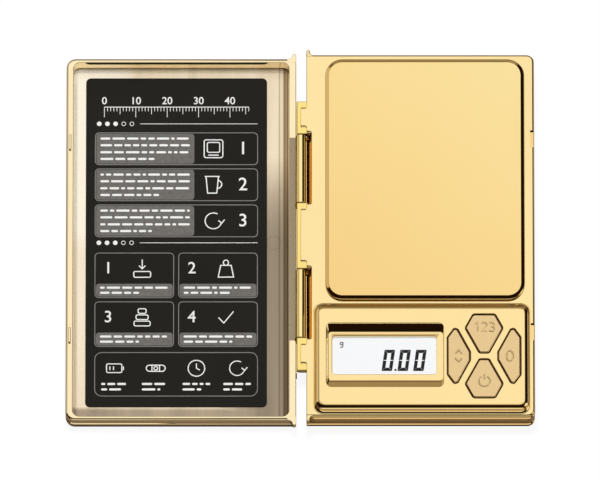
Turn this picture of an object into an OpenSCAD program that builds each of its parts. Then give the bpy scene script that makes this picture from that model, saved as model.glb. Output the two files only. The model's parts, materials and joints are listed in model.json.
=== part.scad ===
/* [Leaves] */
// Length of both leaves along the hinge
leaf_len = 120; // [116:1:130]
// Distance from the hinge axis to the free edge of the base
base_reach = 74; // [73:0.5:82]
// How far the free edge of the lid stands past the base, as a lip for the thumb
thumb_lip = 0.7; // [0.3:0.1:1.2]
// Gap between the hinge axis and the near wall of each leaf
leaf_gap = 1.65; // [1.6:0.05:1.9]
// Height of the deck of the base above the table
deck_z = 13.4; // [13.4:0.1:16]
// Depth of the lid from its outer face to its rim
lid_depth = 9; // [7:0.1:9.4]
// Gap under the open lid
lid_lift = 0.2; // [0.1:0.05:0.5]
// Gap between the lid's rim and the deck when shut
shut_gap = 0.2; // [0.15:0.05:0.4]
// Radius of the upright corners at the free edges
corner_r = 2.4; // [1.4:0.1:3]
// Radius of the lower edge of the base
base_edge_r = 2; // [1:0.1:2.2]
// Radius of the outer edge of the lid
lid_edge_r = 2; // [1:0.1:2.4]
// Reach of the corner ridges past the end walls
ridge_out = 1.6; // [1:0.1:2.2]
// Width of the corner ridges
ridge_w = 1.1; // [0.9:0.1:1.5]
// Height of the corner ridges, down from the top of their leaf
ridge_h = 3; // [2:0.1:6]

/* [Base shell] */
// Side and end walls of the base tray
wall = 1.5; // [1.2:0.1:1.7]
// Hinge side wall of the base tray
hinge_wall = 3; // [2.6:0.1:3.4]
// Floor of the base tray
floor_t = 1.2; // [1.1:0.1:1.6]
// Thickness of the deck plate
deck_t = 1.1; // [0.9:0.05:1.1]
// Radius of the top edge of the deck plate
deck_edge_r = 0.7; // [0.3:0.1:0.8]
// Thickness of the locating rib under the deck
rib_t = 0.9; // [0.7:0.1:1]
// Height of the locating rib under the deck
rib_h = 1.5; // [1:0.1:2]
// Radius of the screw bosses at the corners
boss_r = 2.7; // [2.5:0.1:2.8]
// Standing height of the rubber feet
foot_h = 0.8; // [0.8:0.1:1.5]
// Radius of the rubber feet
foot_r = 3; // [2.8:0.1:3.2]
// Depth of the feet's recesses
foot_seat = 0.8; // [0.5:0.1:0.9]

/* [Hinge] */
// Radius of the hinge pin
pin_r = 0.75; // [0.6:0.05:0.85]
// Running clearance round the hinge pin
pin_fit = 0.05; // [0.03:0.01:0.08]
// Radius of the hinge knuckles
knuckle_r = 1.5; // [1.35:0.05:1.55]
// Half length of the middle knuckle
mid_knuckle = 10.9; // [9:0.1:13]
// Length of each lid knuckle with its end gaps
lid_knuckle = 22.9; // [18:0.1:26]
// Length of each outer knuckle
end_knuckle = 10.8; // [8:0.1:11]
// Gap between neighbouring knuckles
knuckle_gap = 0.15; // [0.1:0.05:0.3]
// Thickness of the arms that carry the lid knuckles
arm_t = 1.35; // [1.1:0.05:1.4]
// Reach of the deck tongues over the hinge axis
tongue_reach = 0.25; // [0.1:0.05:0.4]

/* [Lid] */
// Width of the lid's side rims
lid_rim = 2.2; // [2:0.1:2.3]
// Width of the lid's end rims
lid_end = 1.3; // [1.2:0.1:1.4]
// Thickness of the lid's floor
lid_floor = 0.8; // [0.6:0.1:1.2]
// Radius of the lid's rim
lid_rim_r = 0.6; // [0.3:0.1:0.9]
// Thickness of the liner's floor
liner_floor = 0.6; // [0.5:0.1:1]
// Slope of the liner's wall from top to floor
liner_draft = 1.2; // [0.6:0.1:1.6]
// Thickness of the liner's wall at the top
liner_top = 0.35; // [0.3:0.05:0.5]
// Height of the liner's wall over the lid's floor
liner_h = 1.7; // [1.6:0.1:3]
// Gap between the card and the liner's wall at the lid's free edge
card_free = 2.35; // [1:0.05:4]
// Gap between the card and the liner's wall at the hinge
card_hinge = 5.45; // [3:0.05:7]
// Gap between the card and the liner's front wall
card_front = 3.6; // [1:0.1:5]
// Gap between the card and the liner's rear wall
card_rear = 1.4; // [1:0.1:4]
// Thickness of the card
card_t = 0.4; // [0.3:0.1:0.6]
// Distance of the catches from the middle
catch_y = 32; // [26:1:38]
// Length of the catches
catch_len = 5; // [4:0.5:7]
// Height of the catch nubs over the lid's rim
catch_h = 1; // [0.6:0.1:1]
// Thickness of the catch nubs
catch_t = 0.8; // [0.6:0.1:0.9]

/* [Display panel] */
// Length of the panel along the hinge
panel_len = 36.7; // [36:0.1:40]
// Height of the panel over the deck
panel_h = 2; // [1.9:0.1:2.4]
// Radius of the panel's top edge
panel_edge_r = 1.6; // [1:0.1:1.8]
// Wall of the panel
panel_t = 1.2; // [1:0.05:1.3]
// Distance from the panel's hinge side to the display recess
recess_in = 4.45; // [4:0.05:6]
// Gap between the display recess and the left key
recess_key_gap = 1; // [0.9:0.05:2]
// Height of the visible display
lcd_h = 12.5; // [11:0.5:13]
// Depth of the display recess
recess_d = 1.1; // [0.8:0.1:1.2]
// Thickness of the display window
window_t = 0.8; // [0.6:0.1:1]
// Thickness of the display glass
glass_t = 2.2; // [1.8:0.1:2.6]
// Height of the contact strips and of the backlight
strip_h = 2.3; // [2.1:0.1:2.8]
// Thickness of the circuit board
board_t = 1; // [0.8:0.1:1.6]

/* [Keys] */
// Distance from the free edge of the panel to the middle of the keys
key_inset = 15.1; // [15:0.1:15.6]
// Reach of the upper and lower keys
key_reach = 13.6; // [13:0.1:13.8]
// Half width of the upper and lower keys
key_half = 5.75; // [5.3:0.05:5.8]
// Reach of the left and right keys
side_reach = 11.4; // [11:0.1:11.5]
// Gap round each key
key_gap = 0.25; // [0.15:0.05:0.3]
// Travel of the keys
key_travel = 0.35; // [0.2:0.05:0.4]
// Height of the keys over the panel
key_proud = 0.1; // [0:0.05:0.3]
// Width of the body of a push switch
switch_w = 6; // [5:0.1:6]
// Height of the body of a push switch
switch_h = 3.5; // [3.1:0.1:3.6]

/* [Platform] */
// Distance from the hinge axis to the platform
plat_x0 = 7.6; // [6:0.1:9]
// Gap between the display panel and the platform
plat_gap = 1; // [0.8:0.1:1.6]
// Distance from the rear end of the base to the platform
plat_end = 1.9; // [1.8:0.1:3]
// Distance from the free edge of the base to the platform
plat_side = 3.1; // [2.6:0.1:4]
// Radius of the platform's corners
plat_r = 5.5; // [3:0.1:8]
// Radius of the platform's top edge
plat_edge_r = 1.3; // [0.6:0.1:1.3]
// Thickness of the platform
plat_t = 1.45; // [1.4:0.05:1.8]
// Gap under the platform
plat_lift = 0.35; // [0.35:0.05:0.5]
// Travel of the platform at full load
plat_travel = 0.3; // [0.1:0.05:0.3]
// Width of the carrier plate
carrier_w = 17; // [14:0.5:17]
// Length of the carrier plate
carrier_len = 56; // [50:1:64]
// Thickness of the carrier plate
carrier_t = 1.4; // [1.3:0.05:1.6]

/* [Load cell] */
// Width of the load cell
cell_w = 12; // [10:0.5:12.5]
// Height of the load cell
cell_h = 6; // [5.5:0.1:6.2]
// Length of the load cell
cell_len = 47; // [44:0.5:50]
// Thickness of the load cell's spacers
spacer_t = 1; // [0.8:0.1:1.2]
// Radius of the load cell's screws
cell_screw_r = 1.4; // [1.2:0.05:1.5]

/* [Battery] */
// Radius of one AAA cell
aaa_r = 5.15; // [5:0.05:5.15]
// Length of one AAA cell
aaa_len = 44.5; // [43.5:0.1:44.5]
// Thickness of the battery door
door_t = 1; // [0.9:0.05:1]

/* [Hidden] */
$fn = 48;

// A cut runs this far past the face that it opens
past = 1;
// Pieces that lie in a pocket keep this gap from its sides
fit = 0.1;
half_len = leaf_len / 2;
lid_reach = base_reach + thumb_lip;
// The origin is under the middle of the open scale
hinge_x = thumb_lip / 2;
lid_rim_z = lid_lift + lid_depth;
axis_z = (deck_z + lid_rim_z + shut_gap) / 2;

// Base shell
floor_z = foot_h + floor_t;
tray_top = deck_z - deck_t;
tray_x0 = leaf_gap + hinge_wall;
tray_x1 = base_reach - wall;
tray_y1 = half_len - wall;
tray_r = 1;
foot_inset_x = 5.3;
foot_inset_y = 6.2;
// The feet beside the hinge stand further in, clear of its wall
foot_hinge_x = 6.5;
foot_spots = [for (x = [leaf_gap + foot_hinge_x, base_reach - foot_inset_x])
    for (y = [-half_len + foot_inset_y, half_len - foot_inset_y]) [x, y]];
boss_join = 6.1;
screw_r = 0.95;
screw_hole_r = 1;
screw_head_r = 1.9;
screw_head_h = 1.4;
screw_seat = foot_h + foot_seat;
screw_top = tray_top - 1.3;

// Hinge
bore_r = pin_r + pin_fit;
lid_knuckle_y0 = mid_knuckle;
lid_knuckle_y1 = mid_knuckle + lid_knuckle;
end_knuckle_y1 = lid_knuckle_y1 + end_knuckle;
notch_gap = 0.2;
arm_x = leaf_gap + arm_t;
tongue_end = 2;

// Lid
lid_in_x0 = leaf_gap + lid_rim;
lid_in_x1 = lid_reach - lid_rim;
lid_in_y = half_len - lid_end;
lid_in_r = 2.2;
lid_floor_z = lid_lift + lid_floor;
liner_z = lid_floor_z + liner_floor;
liner_top_z = lid_floor_z + liner_h;
liner_gap = 0.05;
card_r = 1.5;
// Corners of the liner's floor, and of the card on it
liner_in = liner_gap + liner_top + liner_draft;
liner_low = [-lid_in_x1 + liner_in, -lid_in_y + liner_in];
liner_high = [-lid_in_x0 - liner_in, lid_in_y - liner_in];
card_low = liner_low + [card_free, card_front];
card_high = liner_high - [card_hinge, card_rear];
catch_x = base_reach - 0.5;

// Display panel
panel_x0 = lid_in_x0;
panel_x1 = base_reach - 1;
panel_y0 = 0.6 - half_len;
panel_y1 = panel_y0 + panel_len;
panel_mid = (panel_y0 + panel_y1) / 2;
panel_z = deck_z + panel_h;
flange_t = 0.6;
flange_w = 2.4;
panel_under = panel_z - panel_t;
// The raised part stays inside the shut lid
rise_x0 = lid_in_x0 + 0.5;
rise_x1 = lid_in_x1 - 0.35;
rise_y0 = 0.5 - lid_in_y;
rise_y1 = panel_y1 - 0.4;
ledge_t = 0.6;
ledge_z = panel_z - recess_d;
window_z = ledge_z - ledge_t;
lcd_y = panel_mid + 1;
recess_low = [panel_x0 + recess_in, lcd_y - lcd_h / 2 - 4.8];
recess_high = [panel_x1 - key_inset - side_reach - recess_key_gap, lcd_y + lcd_h / 2 + 4];
// Ledge left and right of the visible display, inside the recess
ledge_left = 1.5;
ledge_right = 2.7;
lcd_w = recess_high[0] - recess_low[0] - ledge_left - ledge_right;
lcd_mid = [recess_low[0] + ledge_left + lcd_w / 2, lcd_y];
recess_slope = 1.2;
// Overlap of the window, the glass and the backlight past the visible display
window_lap = [1, 1];
glass_lap = [2, 2.25];
light_lap = [0.3, -0.7];
strip_t = 1.8;
strip_out = 0.75;
strip_lap = 0.7;
glass_top = window_z - window_t;
board_top = glass_top - glass_t - strip_h;
board_z = board_top - board_t;
board_low = [panel_x0 + 3.2, panel_y0 + 6.8];
board_high = [panel_x1 - 2.3, panel_y1 - 1.8];
board_spots = [
    [board_low[0] + 3, board_high[1] - 3.8],
    [board_high[0] - 2.7, board_high[1] - 3.8],
    [panel_x1 - key_inset - 8.4, board_low[1] + 2.8]
];
board_hole_r = 1.1;
board_screw_r = 0.8;
board_screw_low = 0.6;
board_head_r = 1.6;
board_head_h = 1.1;
post_r = 2;
// Parts under the board: a round drop of resin over the controller, a chip, and two cans
drop_x = 4;
drop_r = 6;
drop_taper = 1;
drop_h = 1.2;
chip_x = 7;
chip = [5, 4, 1.5];
can_r = 2;
can_h = 4;
can_spots = [[-10, 9], [-5, 9]];

// Keys, with outlines measured from the middle of the four keys
key_mid = [panel_x1 - key_inset, panel_mid + 0.45];
end_key = [
    [-key_half + 2.4, key_reach], [-key_half, key_reach - 4.4], [-1.4, 1.2],
    [1.4, 1.2], [key_half, key_reach - 4.4], [key_half - 2.4, key_reach]
];
side_key = [
    [-side_reach, 6.1], [-side_reach, -6.1], [2 - side_reach, -8.9], [2.9 - side_reach, -8.6],
    [-4.6, -1.3], [-4.6, 1.3], [2.9 - side_reach, 8.6], [2 - side_reach, 8.9]
];
key_lip = 0.6;
key_lip_t = 0.6;
key_low = panel_under - 0.3 - key_lip_t;
key_top = panel_z + key_proud;
key_step = 0.3;
stem_r = 1.5;
plunger_r = 1.7;
plunger_up = 0.8;
plunger_fit = 0.08;
switch_top = board_top + switch_h;
switch_seat = 0.9;
plunger_top = switch_top + plunger_up;
// The plunger stays over the floor of its seat when the key is down
plunger_low = switch_top - switch_seat + key_travel + 0.15;
end_switch = 7.3;
side_switch = 8.4;

// Platform
plat_x1 = base_reach - plat_side;
plat_y0 = panel_y1 + plat_gap;
plat_y1 = half_len - plat_end;
plat_mid = [(plat_x0 + plat_x1) / 2, (plat_y0 + plat_y1) / 2];

// Battery
aaa_pitch = 2 * aaa_r + 0.5;
aaa_z = foot_h + door_t + fit + aaa_r;
aaa_x1 = base_reach - 3.65 - aaa_r;
aaa_x0 = aaa_x1 - aaa_pitch;
aaa_y0 = plat_mid[1] - aaa_len / 2 + 0.85;
aaa_y1 = aaa_y0 + aaa_len;
contact_t = 0.4;
bump_t = 0.5;
bay_x0 = aaa_x0 - aaa_r - 0.35;
bay_y0 = aaa_y0 - bump_t - contact_t;
bay_y1 = aaa_y1 + bump_t + contact_t;
bay_wall = 1;
carrier_gap = 0.15;
bay_end = 1.4;
bay_top = tray_top - rib_h - 0.2;
door_x0 = bay_x0 - 0.6;
door_gap = 0.2;
tongue_w = 1.2;
tongue_z = foot_h + 0.55;
grip_len = 12;
grip_w = 0.7;
grip_pitch = 1.6;
grip_in = 8;
grip_deep = 0.3;
nub_len = 0.8;
nub_r = 1.9;
contact_w = 8;
contact_r = 2;
wire_r = 0.4;
wire_gap = 0.15;

// Load cell
plat_z0 = deck_z + plat_lift;
carrier_z = plat_z0 - carrier_t;
cell_top = carrier_z - spacer_t;
cell_z = cell_top - cell_h;
cell_y0 = plat_mid[1] - cell_len / 2;
cell_y1 = plat_mid[1] + cell_len / 2;
cell_post_z = cell_z - spacer_t;
spacer_len = 14;
cell_hole_y = [4, 11];
// The beam lies beside the battery bay, under the middle of the platform
beam_x = bay_x0 - bay_wall - carrier_gap - carrier_w / 2;
cell_hole_r = cell_screw_r + 0.1;
cell_head_r = cell_screw_r + 1.2;
cell_head_h = 1.4;
head_sink = 1.2;
thread_end = 1;
stop_y = cell_y1 - 5;
stop_gap = plat_travel + 0.05;
stop_low = 0.4;
hex_r = 0.8;
hex_h = 1.6;
// Two round windows joined by a slit leave four thin webs, each under a gauge
window_web = 0.8;
slit_h = 1;
gauge = [6, 4, 0.15];
gauge_y = 5;
lead_r = 0.35;
lead_drop = 2;
lead_pitch = 1;
lead_bend = 0.5;
// Leads end on the board, this far inside its edge, after a slope of this length
solder_in = 1.5;
lead_slope = 4;
wire_slope = 3;

// Everything is drawn from the hinge axis and set over the origin here
module at_hinge() {
    translate([hinge_x, 0, 0]) children();
}

// Flat rectangle with round corners
module rounded_rect(low, high, r) {
    size = high - low;
    if (r <= 0) {
        translate(low) square(size);
    } else {
        translate([low[0] + r, low[1]]) square([size[0] - 2 * r, size[1]]);
        translate([low[0], low[1] + r]) square([size[0], size[1] - 2 * r]);
        for (x = [low[0] + r, high[0] - r])
            for (y = [low[1] + r, high[1] - r])
                translate([x, y]) circle(r);
    }
}

// Upright slab with round corners
module slab(low, high, z0, z1, r) {
    translate([0, 0, z0]) linear_extrude(z1 - z0) rounded_rect(low, high, r);
}

// Section across a block, with one radius at its top and one at its bottom
module edge_section(a0, a1, z0, z1, top_r, bottom_r) {
    deep = 60;
    intersection() {
        rounded_rect([a0, z0], [a1, z1 + deep], bottom_r);
        rounded_rect([a0, z0 - deep], [a1, z1], top_r);
    }
}

// Block with round corners in plan and round edges above and below.
// left and right keep the corners of those sides square.
module soft_block(low, high, plan_r, top_r, bottom_r, left = 0, right = 0) {
    span = high - low;
    intersection() {
        slab([low[0] - left, low[1]], [high[0] + right, high[1]], low[2], high[2], plan_r);
        translate([0, high[1] + past, 0]) rotate([90, 0, 0])
            linear_extrude(span[1] + 2 * past)
                edge_section(low[0], high[0], low[2], high[2], top_r, bottom_r);
        translate([low[0] - past, 0, 0]) rotate([90, 0, 90])
            linear_extrude(span[0] + 2 * past)
                edge_section(low[1], high[1], low[2], high[2], top_r, bottom_r);
    }
}

// Upright rod or bore
module rod(spot, z0, z1, r) {
    translate([spot[0], spot[1], z0]) cylinder(h = z1 - z0, r = r);
}

// Rod along the hinge
module hinge_rod(y0, y1, r) {
    translate([0, y1, axis_z]) rotate([90, 0, 0]) cylinder(h = y1 - y0, r = r);
}

// Wire of eight sides through a list of points, none of its runs upright
module wire(points, r) {
    sides = 8;
    last = len(points) - 1;
    rings = [for (i = [0 : last])
        let (run = points[min(i + 1, last)] - points[max(i - 1, 0)],
            across = cross(run, [0, 0, 1]) / norm(cross(run, [0, 0, 1])),
            up = cross(across, run) / norm(run))
        [for (k = [0 : sides - 1])
            points[i] + r * (cos(360 * k / sides) * across + sin(360 * k / sides) * up)]];
    walls = [for (i = [0 : last - 1]) for (k = [0 : sides - 1])
        let (a = i * sides + k, b = i * sides + (k + 1) % sides)
        for (face = [[a, a + sides, b], [b, a + sides, b + sides]]) face];
    polyhedron(
        [for (ring = rings) for (point = ring) point],
        concat(walls, [[for (k = [0 : sides - 1]) k]], [[for (k = [sides - 1 : -1 : 0]) last * sides + k]]));
}

// Outline moved out by a distance, for a convex outline that runs anticlockwise
function edge_line(p, q, d) =
    let (n = [q[1] - p[1], p[0] - q[0]] / norm(q - p)) [n[0], n[1], n * p + d];
function meeting(a, b) =
    let (det = a[0] * b[1] - a[1] * b[0])
    [(a[2] * b[1] - a[1] * b[2]) / det, (a[0] * b[2] - a[2] * b[0]) / det];
function grown(points, d) =
    let (n = len(points))
    [for (i = [0 : n - 1]) meeting(
        edge_line(points[(i + n - 1) % n], points[i], d),
        edge_line(points[i], points[(i + 1) % n], d))];

// Two ridges that stand out at the hinge corners
module ridges(x, z0, z1) {
    for (side = [-1, 1])
        translate([x, side * half_len, z0]) linear_extrude(z1 - z0) {
            translate([-ridge_w / 2, side > 0 ? -wall : ridge_w / 2 - ridge_out])
                square([ridge_w, wall + ridge_out - ridge_w / 2]);
            translate([0, side * (ridge_out - ridge_w / 2)]) circle(ridge_w / 2);
        }
}

module both_ends() {
    children();
    mirror([0, 1, 0]) children();
}

// Room for the lid's knuckles in the hinge side of the base
module lid_knuckle_notches(z1) {
    both_ends()
        translate([leaf_gap - fit, lid_knuckle_y0 - notch_gap, axis_z - knuckle_r - notch_gap])
            cube([fit + arm_t + notch_gap, lid_knuckle + 2 * notch_gap, z1 - axis_z + knuckle_r + past]);
}

module tray_outside() {
    soft_block([leaf_gap, -half_len, foot_h], [base_reach, half_len, tray_top],
        corner_r, 0, base_edge_r, left = 5);
}

// The root of a knuckle stays under the deck
module base_knuckle(y0, y1) {
    low = axis_z - knuckle_r;
    hinge_rod(y0, y1, knuckle_r);
    translate([0, y0, low])
        cube([leaf_gap + wall / 2, y1 - y0, min(2 * knuckle_r, tray_top - low)]);
}

module tray_posts() {
    for (spot = foot_spots) rod(spot, foot_h + base_edge_r / 2, boss_join, boss_r);
    for (spot = board_spots) rod(spot, foot_h + floor_t / 2, board_z, post_r);
    translate([beam_x - cell_w / 2, cell_y0, foot_h + floor_t / 2])
        cube([cell_w, spacer_len, cell_post_z - foot_h - floor_t / 2]);
    rod([beam_x, stop_y], foot_h + floor_t / 2, cell_post_z, 2 * cell_screw_r);
}

module battery_bay() {
    low = foot_h + floor_t / 2;
    translate([bay_x0 - bay_wall, bay_y0 - bay_end, low])
        cube([bay_wall, bay_y1 - bay_y0 + 2 * bay_end, bay_top - low]);
    for (y = [bay_y0 - bay_end, bay_y1])
        translate([bay_x0 - bay_wall, y, low])
            cube([tray_x1 - bay_x0 + bay_wall + wall / 2, bay_end, bay_top - low]);
}

// Slot for the door: it is open at the free edge, with a groove along each side
module door_slot() {
    long = base_reach - door_x0 + door_gap + past;
    translate([door_x0 - door_gap, bay_y0, foot_h - past])
        cube([long, bay_y1 - bay_y0, past + door_t + fit]);
    translate([door_x0 - door_gap, bay_y0 - tongue_w, tongue_z - fit])
        cube([long, bay_y1 - bay_y0 + 2 * tongue_w, foot_h + door_t + 2 * fit - tongue_z]);
    translate([bay_x0, bay_y0, foot_h])
        cube([tray_x1 - bay_x0 - 0.9, bay_y1 - bay_y0, floor_t + past]);
}

module base_tray() {
    color("goldenrod") at_hinge() difference() {
        union() {
            difference() {
                tray_outside();
                slab([tray_x0, -tray_y1], [tray_x1, tray_y1], floor_z, deck_z, tray_r);
            }
            ridges(leaf_gap + ridge_w / 2, deck_z - ridge_h, tray_top);
            tray_posts();
            battery_bay();
            base_knuckle(-mid_knuckle, mid_knuckle);
            both_ends() base_knuckle(lid_knuckle_y1, end_knuckle_y1);
        }
        hinge_rod(-end_knuckle_y1 - past, end_knuckle_y1 + past, bore_r);
        lid_knuckle_notches(tray_top);
        for (spot = foot_spots) {
            rod(spot, foot_h - past, screw_seat, foot_r + fit);
            rod(spot, screw_seat - past, screw_seat + screw_head_h + fit, screw_head_r + fit);
            rod(spot, foot_h, boss_join + past, screw_r + 0.2);
        }
        for (spot = board_spots) rod(spot, floor_z + fit, board_z + past, board_screw_r + fit);
        for (y = cell_hole_y) {
            rod([beam_x, cell_y0 + y], foot_h - past, foot_h + cell_head_h + fit, cell_head_r + fit);
            rod([beam_x, cell_y0 + y], foot_h, cell_post_z + past, cell_hole_r);
        }
        rod([beam_x, stop_y], foot_h - past, cell_post_z + past, cell_hole_r);
        door_slot();
    }
}

// Room in the deck for the display and the keys, with the screw corners left in
module display_opening() {
    difference() {
        slab([panel_x0 + flange_w, panel_y0 + flange_w - 0.2],
            [panel_x1 - flange_w, panel_y1 - flange_w + 0.2], tray_top - past, deck_z + past, 1.5);
        for (spot = foot_spots)
            translate([spot[0] - boss_r - 0.3, spot[1] - boss_r - 2, 0])
                cube([2 * boss_r + 0.6, 2 * boss_r + 2.1, deck_z + 2 * past]);
    }
}

module carrier_outline(grow, z0, z1) {
    slab([beam_x - carrier_w / 2 - grow, plat_mid[1] - carrier_len / 2 - grow],
        [beam_x + carrier_w / 2 + grow, plat_mid[1] + carrier_len / 2 + grow], z0, z1, 2 + grow);
}

module deck_rib() {
    z0 = tray_top - rib_h;
    difference() {
        slab([tray_x0 + fit, fit - tray_y1], [tray_x1 - fit, tray_y1 - fit],
            z0, tray_top + deck_t / 2, tray_r);
        slab([tray_x0 + fit + rib_t, fit + rib_t - tray_y1], [tray_x1 - fit - rib_t, tray_y1 - fit - rib_t],
            z0 - past, tray_top, 0.5);
    }
}

// Tongue over a knuckle, hollowed below to clear it
module deck_tongue(y0, y1) {
    difference() {
        slab([-tongue_reach, y0 + tongue_end], [leaf_gap + wall, y1 - tongue_end],
            tray_top, deck_z, 0.5);
        hinge_rod(y0, y1, knuckle_r + fit);
    }
}

module deck_cover() {
    color("gold") at_hinge() difference() {
        union() {
            soft_block([leaf_gap, -half_len, tray_top], [base_reach, half_len, deck_z],
                corner_r, deck_edge_r, 0, left = 5);
            ridges(leaf_gap + ridge_w / 2, tray_top, deck_z - deck_edge_r / 2);
            deck_rib();
            deck_tongue(-mid_knuckle, mid_knuckle);
            both_ends() deck_tongue(lid_knuckle_y1, end_knuckle_y1);
            for (spot = foot_spots) rod(spot, boss_join, tray_top + deck_t / 2, boss_r);
        }
        display_opening();
        slab([panel_x0 - fit, panel_y0 - fit], [panel_x1 + fit, panel_y1 + fit],
            deck_z - flange_t, deck_z + past, 3 + fit);
        carrier_outline(0.5, tray_top - past, deck_z + past);
        lid_knuckle_notches(deck_z);
        for (spot = foot_spots) rod(spot, boss_join - past, screw_top + fit, screw_hole_r);
        both_ends()
            translate([catch_x - catch_t / 2 - 0.4, catch_y - catch_len / 2 - 0.3, deck_z - catch_h - fit])
                cube([2 * catch_t + past, catch_len + 0.6, catch_h + past]);
    }
}

module key_outline(points, grow, z0, z1) {
    translate([key_mid[0], key_mid[1], z0]) linear_extrude(z1 - z0) polygon(grown(points, grow));
}

module display_panel() {
    color("gold") at_hinge() difference() {
        union() {
            difference() {
                union() {
                    slab([panel_x0, panel_y0], [panel_x1, panel_y1], deck_z - flange_t, deck_z, 3);
                    soft_block([rise_x0, rise_y0, deck_z - flange_t], [rise_x1, rise_y1, panel_z],
                        3, panel_edge_r, 0);
                }
                slab([panel_x0 + flange_w, panel_y0 + flange_w], [panel_x1 - flange_w, panel_y1 - flange_w],
                    deck_z - flange_t - past, panel_under, 1.5);
            }
            slab(recess_low - [0.2, 0.2], recess_high + [0.2, 0.2], window_z, panel_under + panel_t / 2, 1);
        }
        hull() {
            slab(recess_low, recess_high, panel_z, panel_z + past, 1.5, $fn = 32);
            slab(recess_low + [recess_slope, recess_slope], recess_high - [recess_slope, recess_slope],
                ledge_z, panel_z, 0.8, $fn = 32);
        }
        slab(lcd_mid - [lcd_w, lcd_h] / 2, lcd_mid + [lcd_w, lcd_h] / 2,
            window_z - past, ledge_z + past, 0.9);
        key_outline(end_key, key_gap, window_z - past, panel_z + past);
        key_outline([for (p = end_key) -p], key_gap, window_z - past, panel_z + past);
        key_outline(side_key, key_gap, window_z - past, panel_z + past);
        key_outline([for (p = side_key) -p], key_gap, window_z - past, panel_z + past);
    }
}

// One key: its cap, the lip that holds it under the panel, and the stem
module key(points, spot) {
    color("tan") at_hinge() {
        key_outline(points, key_lip, key_low, key_low + key_lip_t);
        key_outline(points, 0, key_low, key_top - key_step);
        key_outline(points, -key_step, key_low, key_top);
        rod(key_mid + spot, plunger_top, key_low + key_lip_t, stem_r);
    }
}

module count_key() {
    key(end_key, [0, end_switch]);
}

module power_key() {
    key([for (p = end_key) -p], [0, -end_switch]);
}

module mode_key() {
    key(side_key, [-side_switch, 0]);
}

module tare_key() {
    key([for (p = side_key) -p], [side_switch, 0]);
}

// Plunger of one push switch
module plunger(spot) {
    color("black") at_hinge()
        rod(key_mid + spot, plunger_low, plunger_top, plunger_r);
}

module switch_bodies() {
    color("dimgray") at_hinge()
        for (spot = [[0, end_switch], [0, -end_switch], [-side_switch, 0], [side_switch, 0]])
            difference() {
                slab(key_mid + spot - [switch_w, switch_w] / 2, key_mid + spot + [switch_w, switch_w] / 2,
                    board_top, switch_top, 0.4);
                rod(key_mid + spot, switch_top - switch_seat, switch_top + past, plunger_r + plunger_fit);
            }
}

// Layer of the display, a little larger or smaller than what shows of it
module lcd_layer(lap, z0, z1, r) {
    half = [lcd_w, lcd_h] / 2 + lap;
    slab(lcd_mid - half, lcd_mid + half, z0, z1, r);
}

module lcd_window() {
    color("lightcyan", 0.4) at_hinge() lcd_layer(window_lap, glass_top, window_z, 0.8);
}

module lcd_glass() {
    color("whitesmoke") at_hinge() lcd_layer(glass_lap, glass_top - glass_t, glass_top, 0.2);
}

module lcd_backlight() {
    color("white") at_hinge() lcd_layer(light_lap, board_top, glass_top - glass_t, 0.5);
}

module contact_strips() {
    color("slategray") at_hinge()
        for (side = [-1, 1])
            translate([lcd_mid[0] - lcd_w / 2 - strip_lap,
                lcd_mid[1] + side * (lcd_h / 2 + strip_out) - strip_t / 2, board_top])
                cube([lcd_w + 2 * strip_lap, strip_t, strip_h]);
}

module main_board() {
    color("darkgreen") at_hinge() difference() {
        slab(board_low, board_high, board_z, board_top, 1);
        for (spot = foot_spots) rod(spot, board_z - past, board_top + past, boss_r + 0.4);
        for (spot = board_spots) rod(spot, board_z - past, board_top + past, board_hole_r);
    }
}

module controller_chip() {
    color("black") at_hinge() translate([lcd_mid[0] + drop_x, lcd_mid[1], board_z - drop_h])
        cylinder(h = drop_h, r1 = drop_r - drop_taper, r2 = drop_r);
}

module amplifier_chip() {
    color("black") at_hinge()
        slab([lcd_mid[0] - chip_x - chip[0], lcd_mid[1] - chip[1] / 2],
            [lcd_mid[0] - chip_x, lcd_mid[1] + chip[1] / 2], board_z - chip[2], board_z, 0.3);
}

module board_capacitors() {
    color("silver") at_hinge()
        for (spot = can_spots)
            rod(key_mid + spot, board_z - can_h, board_z, can_r);
}

module board_screws() {
    color("silver") at_hinge()
        for (spot = board_spots) {
            rod(spot, floor_z + board_screw_low, board_top + board_head_h, board_screw_r);
            rod(spot, board_top, board_top + board_head_h, board_head_r);
        }
}

module weighing_platform() {
    color("gold") at_hinge()
        soft_block([plat_x0, plat_y0, plat_z0], [plat_x1, plat_y1, plat_z0 + plat_t],
            plat_r, plat_edge_r, 0);
}

module platform_carrier() {
    color("dimgray") at_hinge() difference() {
        carrier_outline(0, carrier_z, plat_z0);
        for (y = cell_hole_y)
            translate([beam_x, cell_y1 - y, 0]) {
                translate([0, 0, carrier_z - past]) cylinder(h = carrier_t + 2 * past, r = cell_hole_r);
                translate([0, 0, plat_z0 - head_sink])
                    cylinder(h = head_sink + fit / 2, r1 = cell_hole_r, r2 = cell_head_r + fit);
            }
    }
}

module spacer(y0, z0) {
    difference() {
        translate([beam_x - cell_w / 2, y0, z0]) cube([cell_w, spacer_len, spacer_t]);
        for (y = cell_hole_y)
            rod([beam_x, y0 < plat_mid[1] ? y0 + y : y0 + spacer_len - y],
                z0 - past, z0 + spacer_t + past, cell_hole_r);
    }
}

module carrier_spacer() {
    color("silver") at_hinge() spacer(cell_y1 - spacer_len, cell_top);
}

module fixed_spacer() {
    color("silver") at_hinge() spacer(cell_y0, cell_post_z);
}

module carrier_screws() {
    color("gray") at_hinge()
        for (y = cell_hole_y)
            translate([beam_x, cell_y1 - y, 0]) {
                translate([0, 0, cell_z + thread_end])
                    cylinder(h = plat_z0 - cell_z - thread_end - head_sink / 2, r = cell_screw_r);
                translate([0, 0, plat_z0 - head_sink])
                    cylinder(h = head_sink - fit / 2, r1 = cell_screw_r, r2 = cell_head_r);
            }
}

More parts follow.
